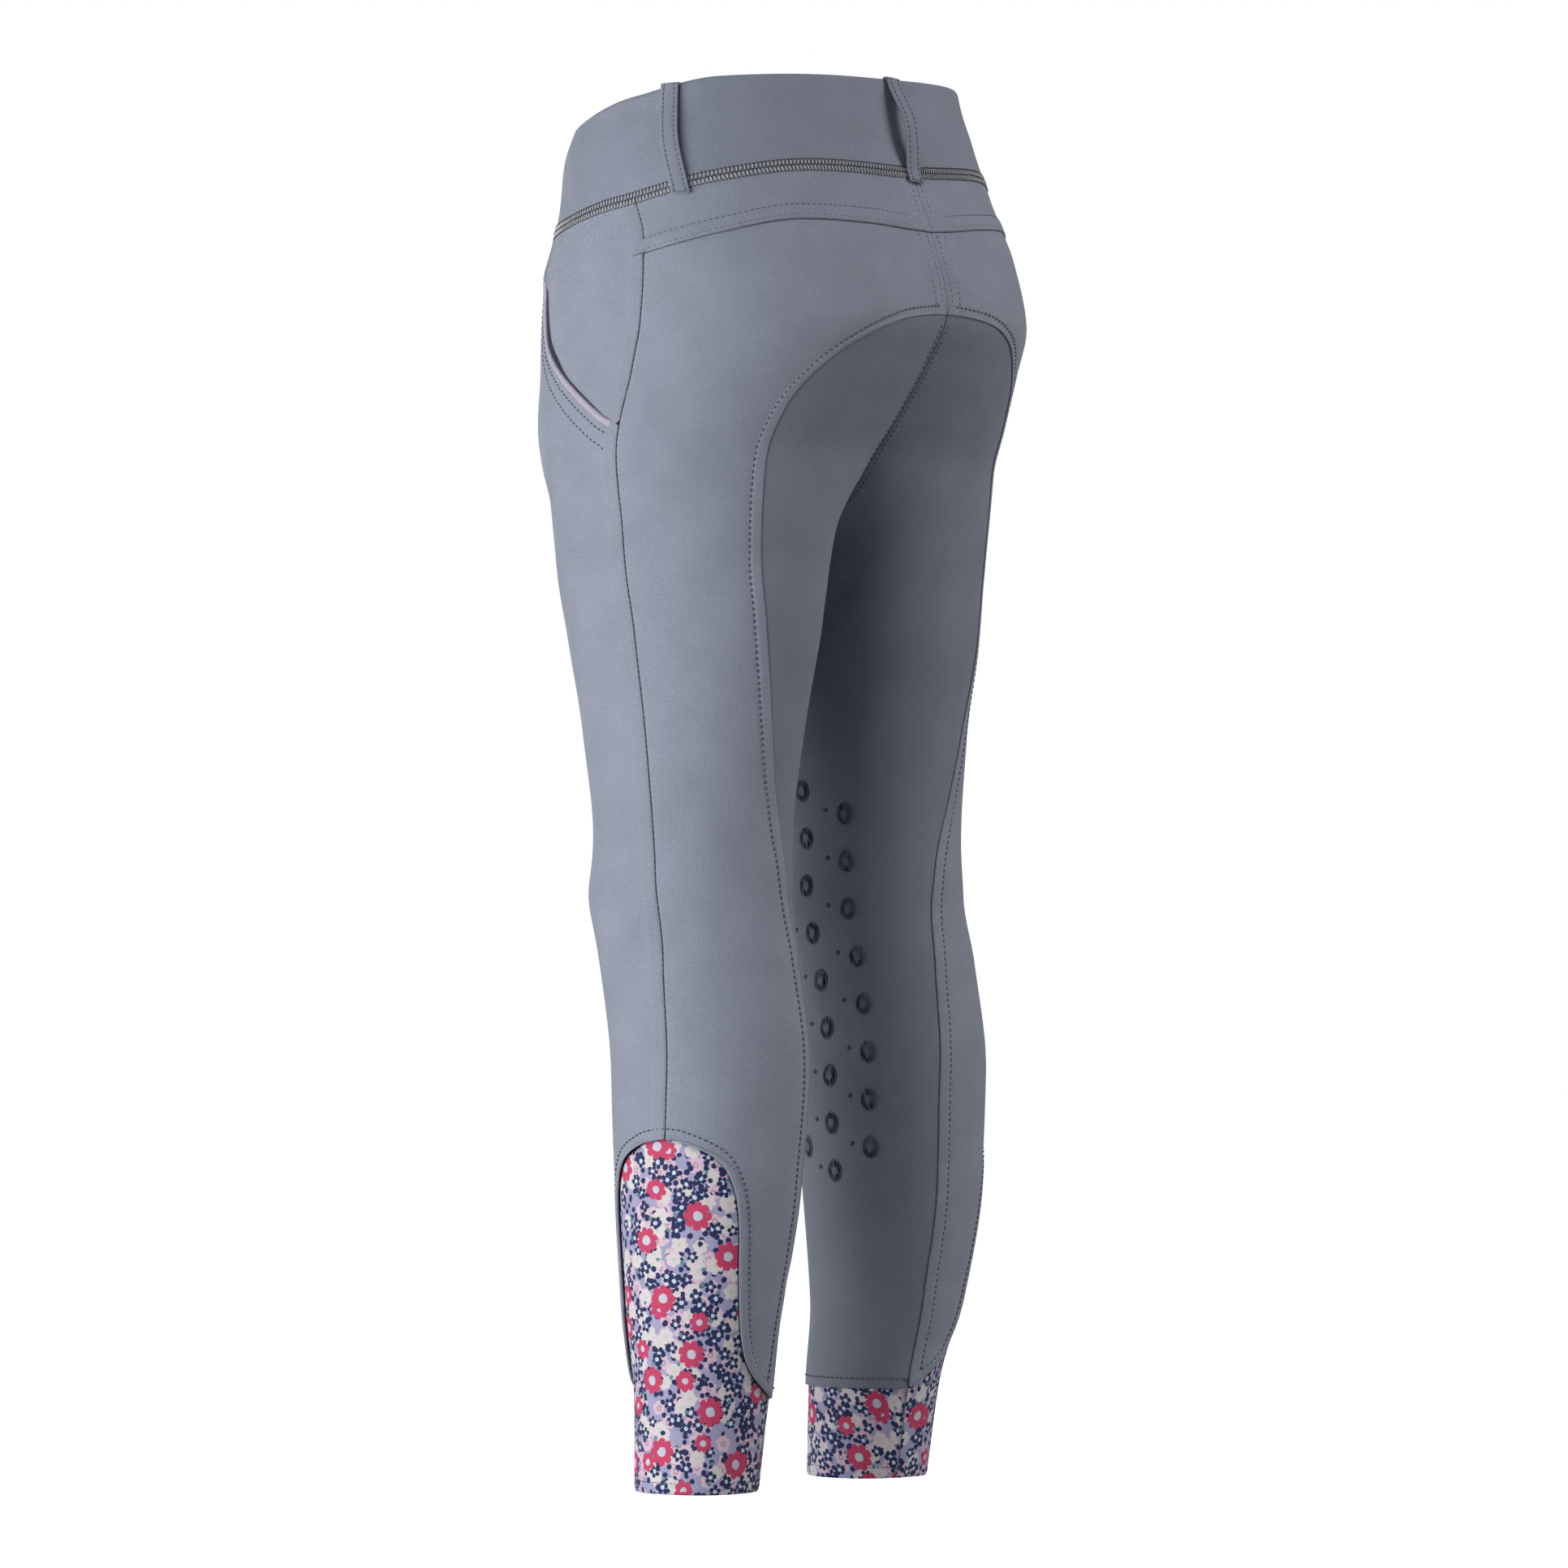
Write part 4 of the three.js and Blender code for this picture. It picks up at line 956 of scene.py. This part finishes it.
def printed_material(name):
    material, tree, shader = new_material(name, roughness=0.75, sheen=0.08)
    place = add_node(tree, "ShaderNodeUVMap", uv_map="cloth_mm")
    wobble = add_node(tree, "ShaderNodeTexNoise", {"Scale": 0.35, "Detail": 1.0})
    tree.links.new(place.outputs["UV"], wobble.inputs["Vector"])
    centred = add_node(tree, "ShaderNodeVectorMath", operation="SUBTRACT")
    centred.inputs[1].default_value = (0.5, 0.5, 0.5)
    tree.links.new(wobble.outputs["Color"], centred.inputs[0])
    bent = add_node(tree, "ShaderNodeVectorMath", operation="MULTIPLY_ADD")
    tree.links.new(centred.outputs[0], bent.inputs[0])
    bent.inputs[1].default_value = (1.4, 1.4, 0)
    tree.links.new(place.outputs["UV"], bent.inputs[2])
    mottle = add_node(tree, "ShaderNodeTexNoise", {"Scale": 0.12, "Detail": 1.0})
    tree.links.new(place.outputs["UV"], mottle.inputs["Vector"])
    bluer = maths(tree, "MULTIPLY_ADD", maths(tree, "SUBTRACT", mottle.outputs["Fac"], 0.5), 9.0, 0.5, clamp=True)
    colour = mixed(tree, bluer, LAVENDER, LAVENDER_BLUE)
    for petals_colour, eye_colour, eye, shift, turn, spacing, scatter, presence, radius, petals, notch, centre in PRINT_LAYERS:
        flower = place_group(tree, FLOWER, {
            "Position": bent.outputs[0], "Shift": shift, "Turn": turn, "Spacing mm": spacing, "Scatter": scatter,
            "Presence": presence, "Radius mm": radius, "Petals": petals, "Notch": notch, "Centre mm": centre})
        colour = mixed(tree, flower.outputs["Flower"], colour, petals_colour)
        if eye != "Flower":
            colour = mixed(tree, flower.outputs[eye], colour, eye_colour)
    knit = place_group(tree, KNIT, {"Position": place.outputs["UV"], "Colour": colour, "Cloudiness": 0.07,
                                    "Rib mm": 0.8, "Roughness": 0.75})
    tree.links.new(knit.outputs["Colour"], shader.inputs["Base Color"])
    tree.links.new(knit.outputs["Roughness"], shader.inputs["Roughness"])
    bumped(tree, shader, knit.outputs["Height"], 0.5, 0.07)
    return material


printed_cloth = printed_material("printed_cloth_small_flowers")
PRINT_SHIFT = {"left": (0.0, 0.0), "right": (143.0, 61.0)}

for label, half in HALVES:
    piece = grid_object(f"calf_insert_{label}", cloth_point(cuff_nodes, half, cuff_lift),
                        cloth_map(cuff_nodes) + PRINT_SHIFT[label], printed_cloth, CUFF_CLOTH, half=half)
    declare_cloth(piece, f"cuff_{label}", CUFF_AREA)
print("layers of the print:", len(PRINT_LAYERS))

# %% [markdown]
# Topstitching is thousands of short threads. One stitch is a small squashed sphere, and a row sets
# copies of it along a seam line at the machine's stitch length, each turned to follow the line and
# half sunk in the cloth. The rows of one kind are one piece.

# %% Stitches
STITCH_BASE = {}


def stitch_mesh(length, width):
    """One stitch, lying along X."""
    key = (length, width)
    if key not in STITCH_BASE:
        bm = bmesh.new()
        bmesh.ops.create_uvsphere(bm, u_segments=6, v_segments=4, radius=0.5)
        bmesh.ops.rotate(bm, verts=bm.verts, matrix=Matrix.Rotation(math.radians(90), 3, "Y"))
        bmesh.ops.scale(bm, verts=bm.verts, vec=Vector((length, width, width * 0.8)) * MM)
        for face in bm.faces:
            face.smooth = True
        mesh = bpy.data.meshes.new("stitch")
        bm.to_mesh(mesh)
        bm.free()
        STITCH_BASE[key] = mesh
    return STITCH_BASE[key]


def spaced(nodes, half, pitch, start=0.0):
    """Nodes at even steps of pitch millimetres along a line."""
    point = body_point(nodes[:, 0], nodes[:, 1], half)
    length = np.concatenate([[0], np.cumsum(np.linalg.norm(np.diff(point, axis=0), axis=1))])
    at = np.arange(start * pitch, length[-1], pitch)
    return nodes_of(np.interp(at, length, nodes[:, 0]), np.interp(at, length, nodes[:, 1]))


def sew(bm, nodes, half, pitch, lift, share=0.74, width=0.62, slant=0.0, start=0.4):
    """Adds a row of stitches to a bmesh, along a line of nodes."""
    base = stitch_mesh(round(pitch * share, 2), width)
    line = spaced(nodes, half, pitch, start)
    if len(line) < 3:
        return 0
    point = cloth_point(line, half, lift)
    normal = body_normal(line[:, 0], line[:, 1], half)
    along = np.gradient(point, axis=0)
    for here, up, way in zip(point, normal, along):
        z = Vector(up).normalized()
        x = Vector(way)
        x = (x - z * x.dot(z)).normalized()
        x = Matrix.Rotation(slant, 3, z) @ x
        turn = Matrix((x, z.cross(x), z)).transposed().to_4x4()
        turn.translation = Vector(here)
        base.transform(turn)
        bm.from_mesh(base)
        base.transform(turn.inverted())
    return len(line)


def stitched(name, rows, material):
    """One piece of stitch rows, each given as (nodes, half, pitch, lift, options)."""
    bm = bmesh.new()
    count = sum(sew(bm, nodes, half, pitch, lift, **options) for nodes, half, pitch, lift, options in rows)
    mesh = bpy.data.meshes.new(name)
    bm.to_mesh(mesh)
    bm.free()
    mesh.materials.append(material)
    piece = bpy.data.objects.new(name, mesh)
    bpy.context.scene.collection.objects.link(piece)
    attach(piece, "root")
    print(name, "stitches:", count)
    return piece


def levels_between(first, last, count=160):
    return np.linspace(first, last, count)


side_line = side_edge(levels_between(0, LEG))
seat_line = seat_edge(levels_between(APEX_LEVEL, CUFF_LEVEL, 260))
yoke_centre = centre_back_edge(levels_between(0.1, YOKE_LEVEL, 40))
back_centre = centre_back_edge(levels_between(YOKE_LEVEL, APEX_LEVEL - 0.35, 60))
seat_centre = centre_back_edge(levels_between(APEX_LEVEL + 0.5, CROTCH_LEVEL, 90))
fold_angle = np.linspace(95.6, 182, 90)
arch_line = np.vstack([arch_edge(ARCH_FRONT, levels_between(LEG, CUFF_LEVEL, 90))[::-1],
                       arch_edge(ARCH_REAR, levels_between(LEG, CUFF_LEVEL, 90))[1:]])
hem_line = nodes_of(np.linspace(202, 362, 90), CUFF_SEAM + 5.2)
front_centre = centre_front_edge(levels_between(0.2, CROTCH_LEVEL, 90))
pocket_line = pocket_edge(levels_between(0.3, HIP), 0.0, POCKET_FOOT + 2.4)

# The pale rows are sewn in pale thread coloured darker than the cloth, as painted shade of the stitch rows.
grey_rows, pale_rows_painted_shade = [], []
for label, half in HALVES:
    grey_rows += [
        (side_line, half, 3.0, -0.16, {"width": 0.78, "share": 0.62}),
        (moved(seat_line, 6.3), half, 3.2, 0.40, {"width": 0.9, "share": 0.62}),
        (moved(arch_line, -5.5), half, 3.1, 0.40, {"width": 0.85, "share": 0.62}),
        (hem_line, half, 3.1, 0.40, {"width": 0.85, "share": 0.62}),
        (moved(pocket_line, 5.0), half, 3.3, 0.22, {"width": 0.85, "share": 0.62}),
        (moved(pocket_line, 12.0), half, 3.3, 0.12, {"width": 0.85, "share": 0.62}),
        (front_centre, half, 2.6, -0.3, {"width": 0.5}),
    ]
    pale_rows_painted_shade += [
        (moved(yoke_centre, 3.4), half, 3.0, 0.40, {"width": 0.75, "share": 0.62}),
        (moved(yoke_centre, 8.0), half, 3.0, 0.28, {"width": 0.6, "share": 0.62}),
        (moved(back_centre, 3.4), half, 3.0, 0.40, {"width": 0.75, "share": 0.62}),
        (moved(back_centre, 8.0), half, 3.0, 0.24, {"width": 0.6, "share": 0.62}),
        (moved(seat_centre, 2.2), half, 3.0, 0.26, {"width": 0.85, "share": 0.62}),
        (nodes_of(fold_angle, YOKE_FOLD(fold_angle) + 8.0), half, 3.1, 0.30, {"width": 0.85, "share": 0.62}),
        (nodes_of(fold_angle, YOKE_FOLD(fold_angle) + 2.2), half, 3.1, 0.62, {"width": 0.6, "share": 0.62}),
        (nodes_of(np.linspace(0, 360, 200), HEM + 6.0), half, 2.4, -1.6, {"width": 0.5}),
        (nodes_of(202.0, np.linspace(CUFF_SEAM - 1, HEM + 1, 30)), half, 1.3, -1.2, {"width": 0.6, "share": 0.95}),
    ]
stitched("stitches_dark", grey_rows, thread)
stitched("stitches_pale_painted_shade", pale_rows_painted_shade, shaded_pale_thread)

# %% [markdown]
# The flat seam under the waistband is sewn by a machine with several needles. It leaves a ladder of
# short threads across the seam between two rows of needle holes, in a thread a little warmer than
# the cloth. Each rung is a stitch laid across the seam line.

# %% Flat seam under the waistband
FLAT_SEAM_PITCH = 2.1
full_turn = np.linspace(0, 180, 120)
rung_rows, needle_rows = [], []
for label, half in HALVES:
    for rows, offset, slant, width, share, lift in (
            (rung_rows, 1.5, 1.35, 0.88, 1.45, 0.42), (rung_rows, -1.5, 1.75, 0.88, 1.45, 0.42),
            (needle_rows, 3.1, 0.0, 1.00, 0.55, 0.38), (needle_rows, 0.0, 0.0, 0.80, 0.55, 0.60),
            (needle_rows, -3.1, 0.0, 0.70, 0.55, 0.38)):
        line = nodes_of(full_turn, WAIST_SEAM(full_turn) + offset)
        rows.append((line, half, FLAT_SEAM_PITCH, lift, {"slant": slant, "width": width, "share": share, "start": 0.2}))
# The needle rows are dark stitches whose colour is partly painted shade of the needle holes.
stitched("flat_seam_needle_rows", needle_rows, needle_thread_with_hole_shade)
stitched("flat_seam_threads", rung_rows, flat_seam_thread)

# %% [markdown]
# A belt loop is a folded strip with a row of stitches near each edge. It starts inside the band's top
# edge, turns over it, stands off the band so that a belt can pass, and is tacked down under the flat
# seam with its end turned in.

# %% Belt loops
LOOP_WIDTH, LOOP_CLOTH, LOOP_FOOT = 10.5, 1.5, 5.5
LOOP_TABLE = (
    # name, angle of the top, of the bottom, stand-off, halves
    ("back", 180, 180, 6.6, (("", 1),)),
    ("side", 102.5, 109, 2.2, (("_left", 1), ("_right", -1))),
    ("front", 22, 22, 5.4, (("_left", 1), ("_right", -1))),
)
ACROSS_LOOP = np.array([-1, -0.94, -0.84, -0.7, -0.58, -0.46, -0.2, 0.2, 0.46, 0.58, 0.7, 0.84, 0.94, 1]) * LOOP_WIDTH / 2


def loop_surface(top, bottom, gap, half, along, sideways, lift=0.0):
    """Points of a loop's outer face, at distances up from its lower end."""
    high, low = float(TOP_EDGE(top)) - 0.6, float(WAIST_SEAM(bottom)) - 5.8
    length = high - low
    at = np.clip(along, 0, length)
    angle, height = bottom + (top - bottom) * at / length, low + at
    bow = np.sin(math.pi * np.clip((at - LOOP_FOOT) / (length - LOOP_FOOT - 1.5), 0, 1))
    rise = bow**1.2
    normal = body_normal(angle, height, half)
    outward = 0.8 + rise * (gap - 0.8) + LOOP_CLOTH + lift
    over = np.clip(along - length, 0, 8)
    turn = np.clip(over / 3.2, 0, 1) * math.pi / 2
    outward = outward - 2.6 * (1 - np.cos(turn)) - 1.6 * np.clip((over - 3.2) / 2, 0, 1)
    raised = 1.4 * np.sin(turn) - 3.5 * np.clip((over - 3.2) / 4.8, 0, 1)
    side = np.cross((0, 0, 1), normal)
    side /= np.linalg.norm(side, axis=-1, keepdims=True)
    place = body_point(angle, height, half) + normal * outward[..., None] + side * sideways[..., None] * half
    return (place + np.stack([0 * raised, 0 * raised, raised], -1)) * MM, normal


def loop_object(name, top, bottom, gap, half):
    length = float(TOP_EDGE(top)) - 0.6 - float(WAIST_SEAM(bottom)) + 5.8
    along = np.concatenate([[0, 0.4, 1.0, 1.8], np.linspace(3, length - 1, 44), length + np.linspace(0, 8, 14)])
    grid_along, grid_across = np.meshgrid(along, ACROSS_LOOP, indexing="ij")
    from_edge = LOOP_WIDTH / 2 - np.abs(grid_across)
    lift = -0.25 * np.exp(-(((from_edge - 2.2) / 0.6) ** 2)) + roll(from_edge, 0.5, 0.5) + roll(grid_along, 0.4, 0.4)
    points, _ = loop_surface(top, bottom, gap, half, grid_along, grid_across, lift)
    piece = grid_object(name, points[::-1], np.stack([grid_across, grid_along], -1)[::-1], loop_cloth, LOOP_CLOTH,
                        half=half)
    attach(piece, "root")
    bm = bmesh.new()
    base = stitch_mesh(1.9, 0.5)
    up_the_loop = np.arange(2.0, length + 1, 2.6)
    rows = [(up_the_loop, np.full(len(up_the_loop), row * (LOOP_WIDTH / 2 - 2.2))) for row in (-1, 1)]
    rows.append((np.full(5, 0.9), np.linspace(-3.8, 3.8, 5)))
    for at, sideways in rows:
        place, normal = loop_surface(top, bottom, gap, half, at, sideways, 0.02)
        for here, up, way in zip(place, normal, np.gradient(place, axis=0)):
            z = Vector(up)
            x = Vector(way).normalized()
            z = (z - x * z.dot(x)).normalized()
            turn = Matrix((x, z.cross(x), z)).transposed().to_4x4()
            turn.translation = Vector(here)
            base.transform(turn)
            bm.from_mesh(base)
            base.transform(turn.inverted())
    mesh = bpy.data.meshes.new(f"{name}_stitches")
    bm.to_mesh(mesh)
    bm.free()
    mesh.materials.append(thread)
    sewn = bpy.data.objects.new(f"{name}_stitches", mesh)
    bpy.context.scene.collection.objects.link(sewn)
    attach(sewn, "root")
    return piece


for kind, top, bottom, gap, sides in LOOP_TABLE:
    for label, half in sides:
        strap = loop_object(f"belt_loop_{kind}{label}", top, bottom, gap, half)
        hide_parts(f"loop_{kind}{label}")

# %% [markdown]
# On the inner leg the riding grips are thin prints of silicone in rows from above the knee to the
# calf. Each is made as a plain oval rim round a low oval button, with a small dot between the
# columns. One grip is a stack of rings joined by bridges, and copies of it are set on the cloth.

# %% Silicone grips
GRIP_PITCH = 25.4
GRIP_TOP = -338.0
GRIP_RINGS = 20
GRIP_PROFILE = (
    # share of the half width, height in mm
    (1.00, -0.30), (1.00, 0.26), (0.95, 0.46), (0.87, 0.46), (0.82, 0.20), (0.80, -0.28), (0.60, -0.29), (0.58, 0.20),
    (0.52, 0.42), (0.24, 0.52),
)
GRIP_COLUMNS = (
    # angle, rows, first row's drop, oval width and height, all mm
    (273.0, 9, 0.0, 9.6, 12.6),
    (248.5, 8, 12.7, 9.6, 12.6),
    (297.0, 8, 12.7, 9.6, 12.6),
)
DOT_SIZE = 2.4


def grip_mesh():
    """One grip of half width 1, lying flat, with heights in millimetres."""
    bm = bmesh.new()
    before = None
    for radius, height in GRIP_PROFILE:
        ends = height in (GRIP_PROFILE[0][1], GRIP_PROFILE[-1][1])
        ring = bmesh.ops.create_circle(bm, segments=GRIP_RINGS, radius=radius, cap_ends=ends)["verts"]
        bmesh.ops.translate(bm, verts=ring, vec=(0, 0, height))
        edges = [edge for edge in bm.edges if edge.verts[0] in ring and edge.verts[1] in ring]
        if before:
            bmesh.ops.bridge_loops(bm, edges=before + edges)
        before = edges
    bmesh.ops.recalc_face_normals(bm, faces=bm.faces)
    for face in bm.faces:
        face.smooth = True
    mesh = bpy.data.meshes.new("grip")
    bm.to_mesh(mesh)
    bm.free()
    return mesh


grip = grip_mesh()


def add_grip(bm, angle, height, half, wide, tall):
    """A grip set on the cloth."""
    node = np.array([[angle, height]])
    z = Vector(body_normal(node[:, 0], node[:, 1], half)[0])
    y = (Vector((0, 0, 1)) - z * z.z).normalized()
    turn = Matrix((y.cross(z), y, z)).transposed().to_4x4()
    turn.translation = Vector(cloth_point(node, half)[0])
    turn = turn @ Matrix.Diagonal((wide * MM / 2, tall * MM / 2, MM, 1))
    grip.transform(turn)
    bm.from_mesh(grip)
    grip.transform(turn.inverted())


silicone = plain_material("silicone_grip", SILICONE_GREY, roughness=0.6, grain_scale=500.0, cloudiness=0.05)
for label, half in HALVES:
    bm = bmesh.new()
    for angle, rows, drop, wide, tall in GRIP_COLUMNS:
        for row in range(rows):
            height = GRIP_TOP - drop - row * GRIP_PITCH
            add_grip(bm, angle, height, half, wide, tall)
            add_grip(bm, angle + 11.5, height + 2.0, half, DOT_SIZE, DOT_SIZE)
    mesh = bpy.data.meshes.new(f"grips_{label}")
    bm.to_mesh(mesh)
    bm.free()
    mesh.materials.append(silicone)
    grips = bpy.data.objects.new(f"grips_{label}", mesh)
    bpy.context.scene.collection.objects.link(grips)
    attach(grips, "root")
    print(grips.name, "faces:", len(mesh.polygons))

# %% [markdown]
# The studio is a plain pale floor and a white surround. Soft panels stand on the floor in an arc on
# the wearer's left, so that the outer side of the near leg is bright and the seat and the inner legs
# fall into soft shade. Two weak lights from the far side give that side its rim, and one in front
# serves the other views. The hems end at the ankles, so the ground is a foot's height below.

# %% Floor and lights
FLOOR_HEIGHT = -0.790
FLOOR_SIZE = 60.0
FLOOR_GLOW = 1.0

bm = bmesh.new()
bmesh.ops.create_grid(bm, x_segments=1, y_segments=1, size=FLOOR_SIZE / 2)
bmesh.ops.translate(bm, verts=bm.verts, vec=(0, 0, FLOOR_HEIGHT))
floor_mesh = bpy.data.meshes.new("floor")
bm.to_mesh(floor_mesh)
bm.free()
floor = bpy.data.objects.new("floor", floor_mesh)
bpy.context.scene.collection.objects.link(floor)
floor_white, floor_tree, floor_shader = new_material("floor_white", roughness=1.0)
floor_shader.inputs["Base Color"].default_value = (0.40, 0.40, 0.40, 1)
floor_shader.inputs["Specular IOR Level"].default_value = 0.0
floor_shader.inputs["Emission Color"].default_value = (1, 1, 1, 1)
floor_rays = add_node(floor_tree, "ShaderNodeLightPath")
glow = maths(floor_tree, "MULTIPLY", floor_rays.outputs["Is Camera Ray"], FLOOR_GLOW)
floor_tree.links.new(glow, floor_shader.inputs["Emission Strength"])
floor_mesh.materials.append(floor_white)

LIGHT_TARGET = Vector((0, 0, -0.35))
LIGHT_TABLE = (
    # name, degrees round from the front, distance out and height in metres, width, tallness, watts
    ("panel_front", 50, 2.8, -0.39, 1.4, 0.78, 27.5),
    ("panel_side", 75, 2.8, -0.39, 1.4, 0.78, 33.0),
    ("panel_rear", 95, 2.8, -0.39, 1.4, 0.78, 18.0),
    ("far_low", 215, 2.8, -0.39, 1.4, 0.78, 9.5),
    ("far_high", 215, 2.15, 1.45, 1.4, 1.4, 36.5),
    ("high", 108, 2.15, 1.45, 1.4, 1.4, 11.5),
    ("front_fill", 318, 2.6, 0.60, 1.6, 1.6, 46.0),
)
for name, azimuth, out, height, width, tallness, power in LIGHT_TABLE:
    lamp = bpy.data.objects.new(name, bpy.data.lights.new(name, "AREA"))
    lamp.data.shape = "RECTANGLE"
    lamp.data.size = width
    lamp.data.size_y = tallness
    lamp.data.energy = power
    turn = math.radians(azimuth)
    lamp.location = (out * math.sin(turn), -out * math.cos(turn), height)
    lamp.rotation_euler = (LIGHT_TARGET - lamp.location).to_track_quat("-Z", "Y").to_euler()
    bpy.context.scene.collection.objects.link(lamp)

SURROUND_LIGHT = 0.01
world = bpy.data.worlds.new("surround")
bpy.context.scene.world = world
world.use_nodes = True
surround = world.node_tree
seen = surround.nodes["Background"]
seen.inputs["Color"].default_value = (1, 1, 1, 1)
rays = add_node(surround, "ShaderNodeLightPath")
strength = maths(surround, "MULTIPLY_ADD", rays.outputs["Is Camera Ray"], 1.0 - SURROUND_LIGHT, SURROUND_LIGHT)
surround.links.new(strength, seen.inputs["Strength"])
bpy.context.scene.view_settings.view_transform = "Standard"
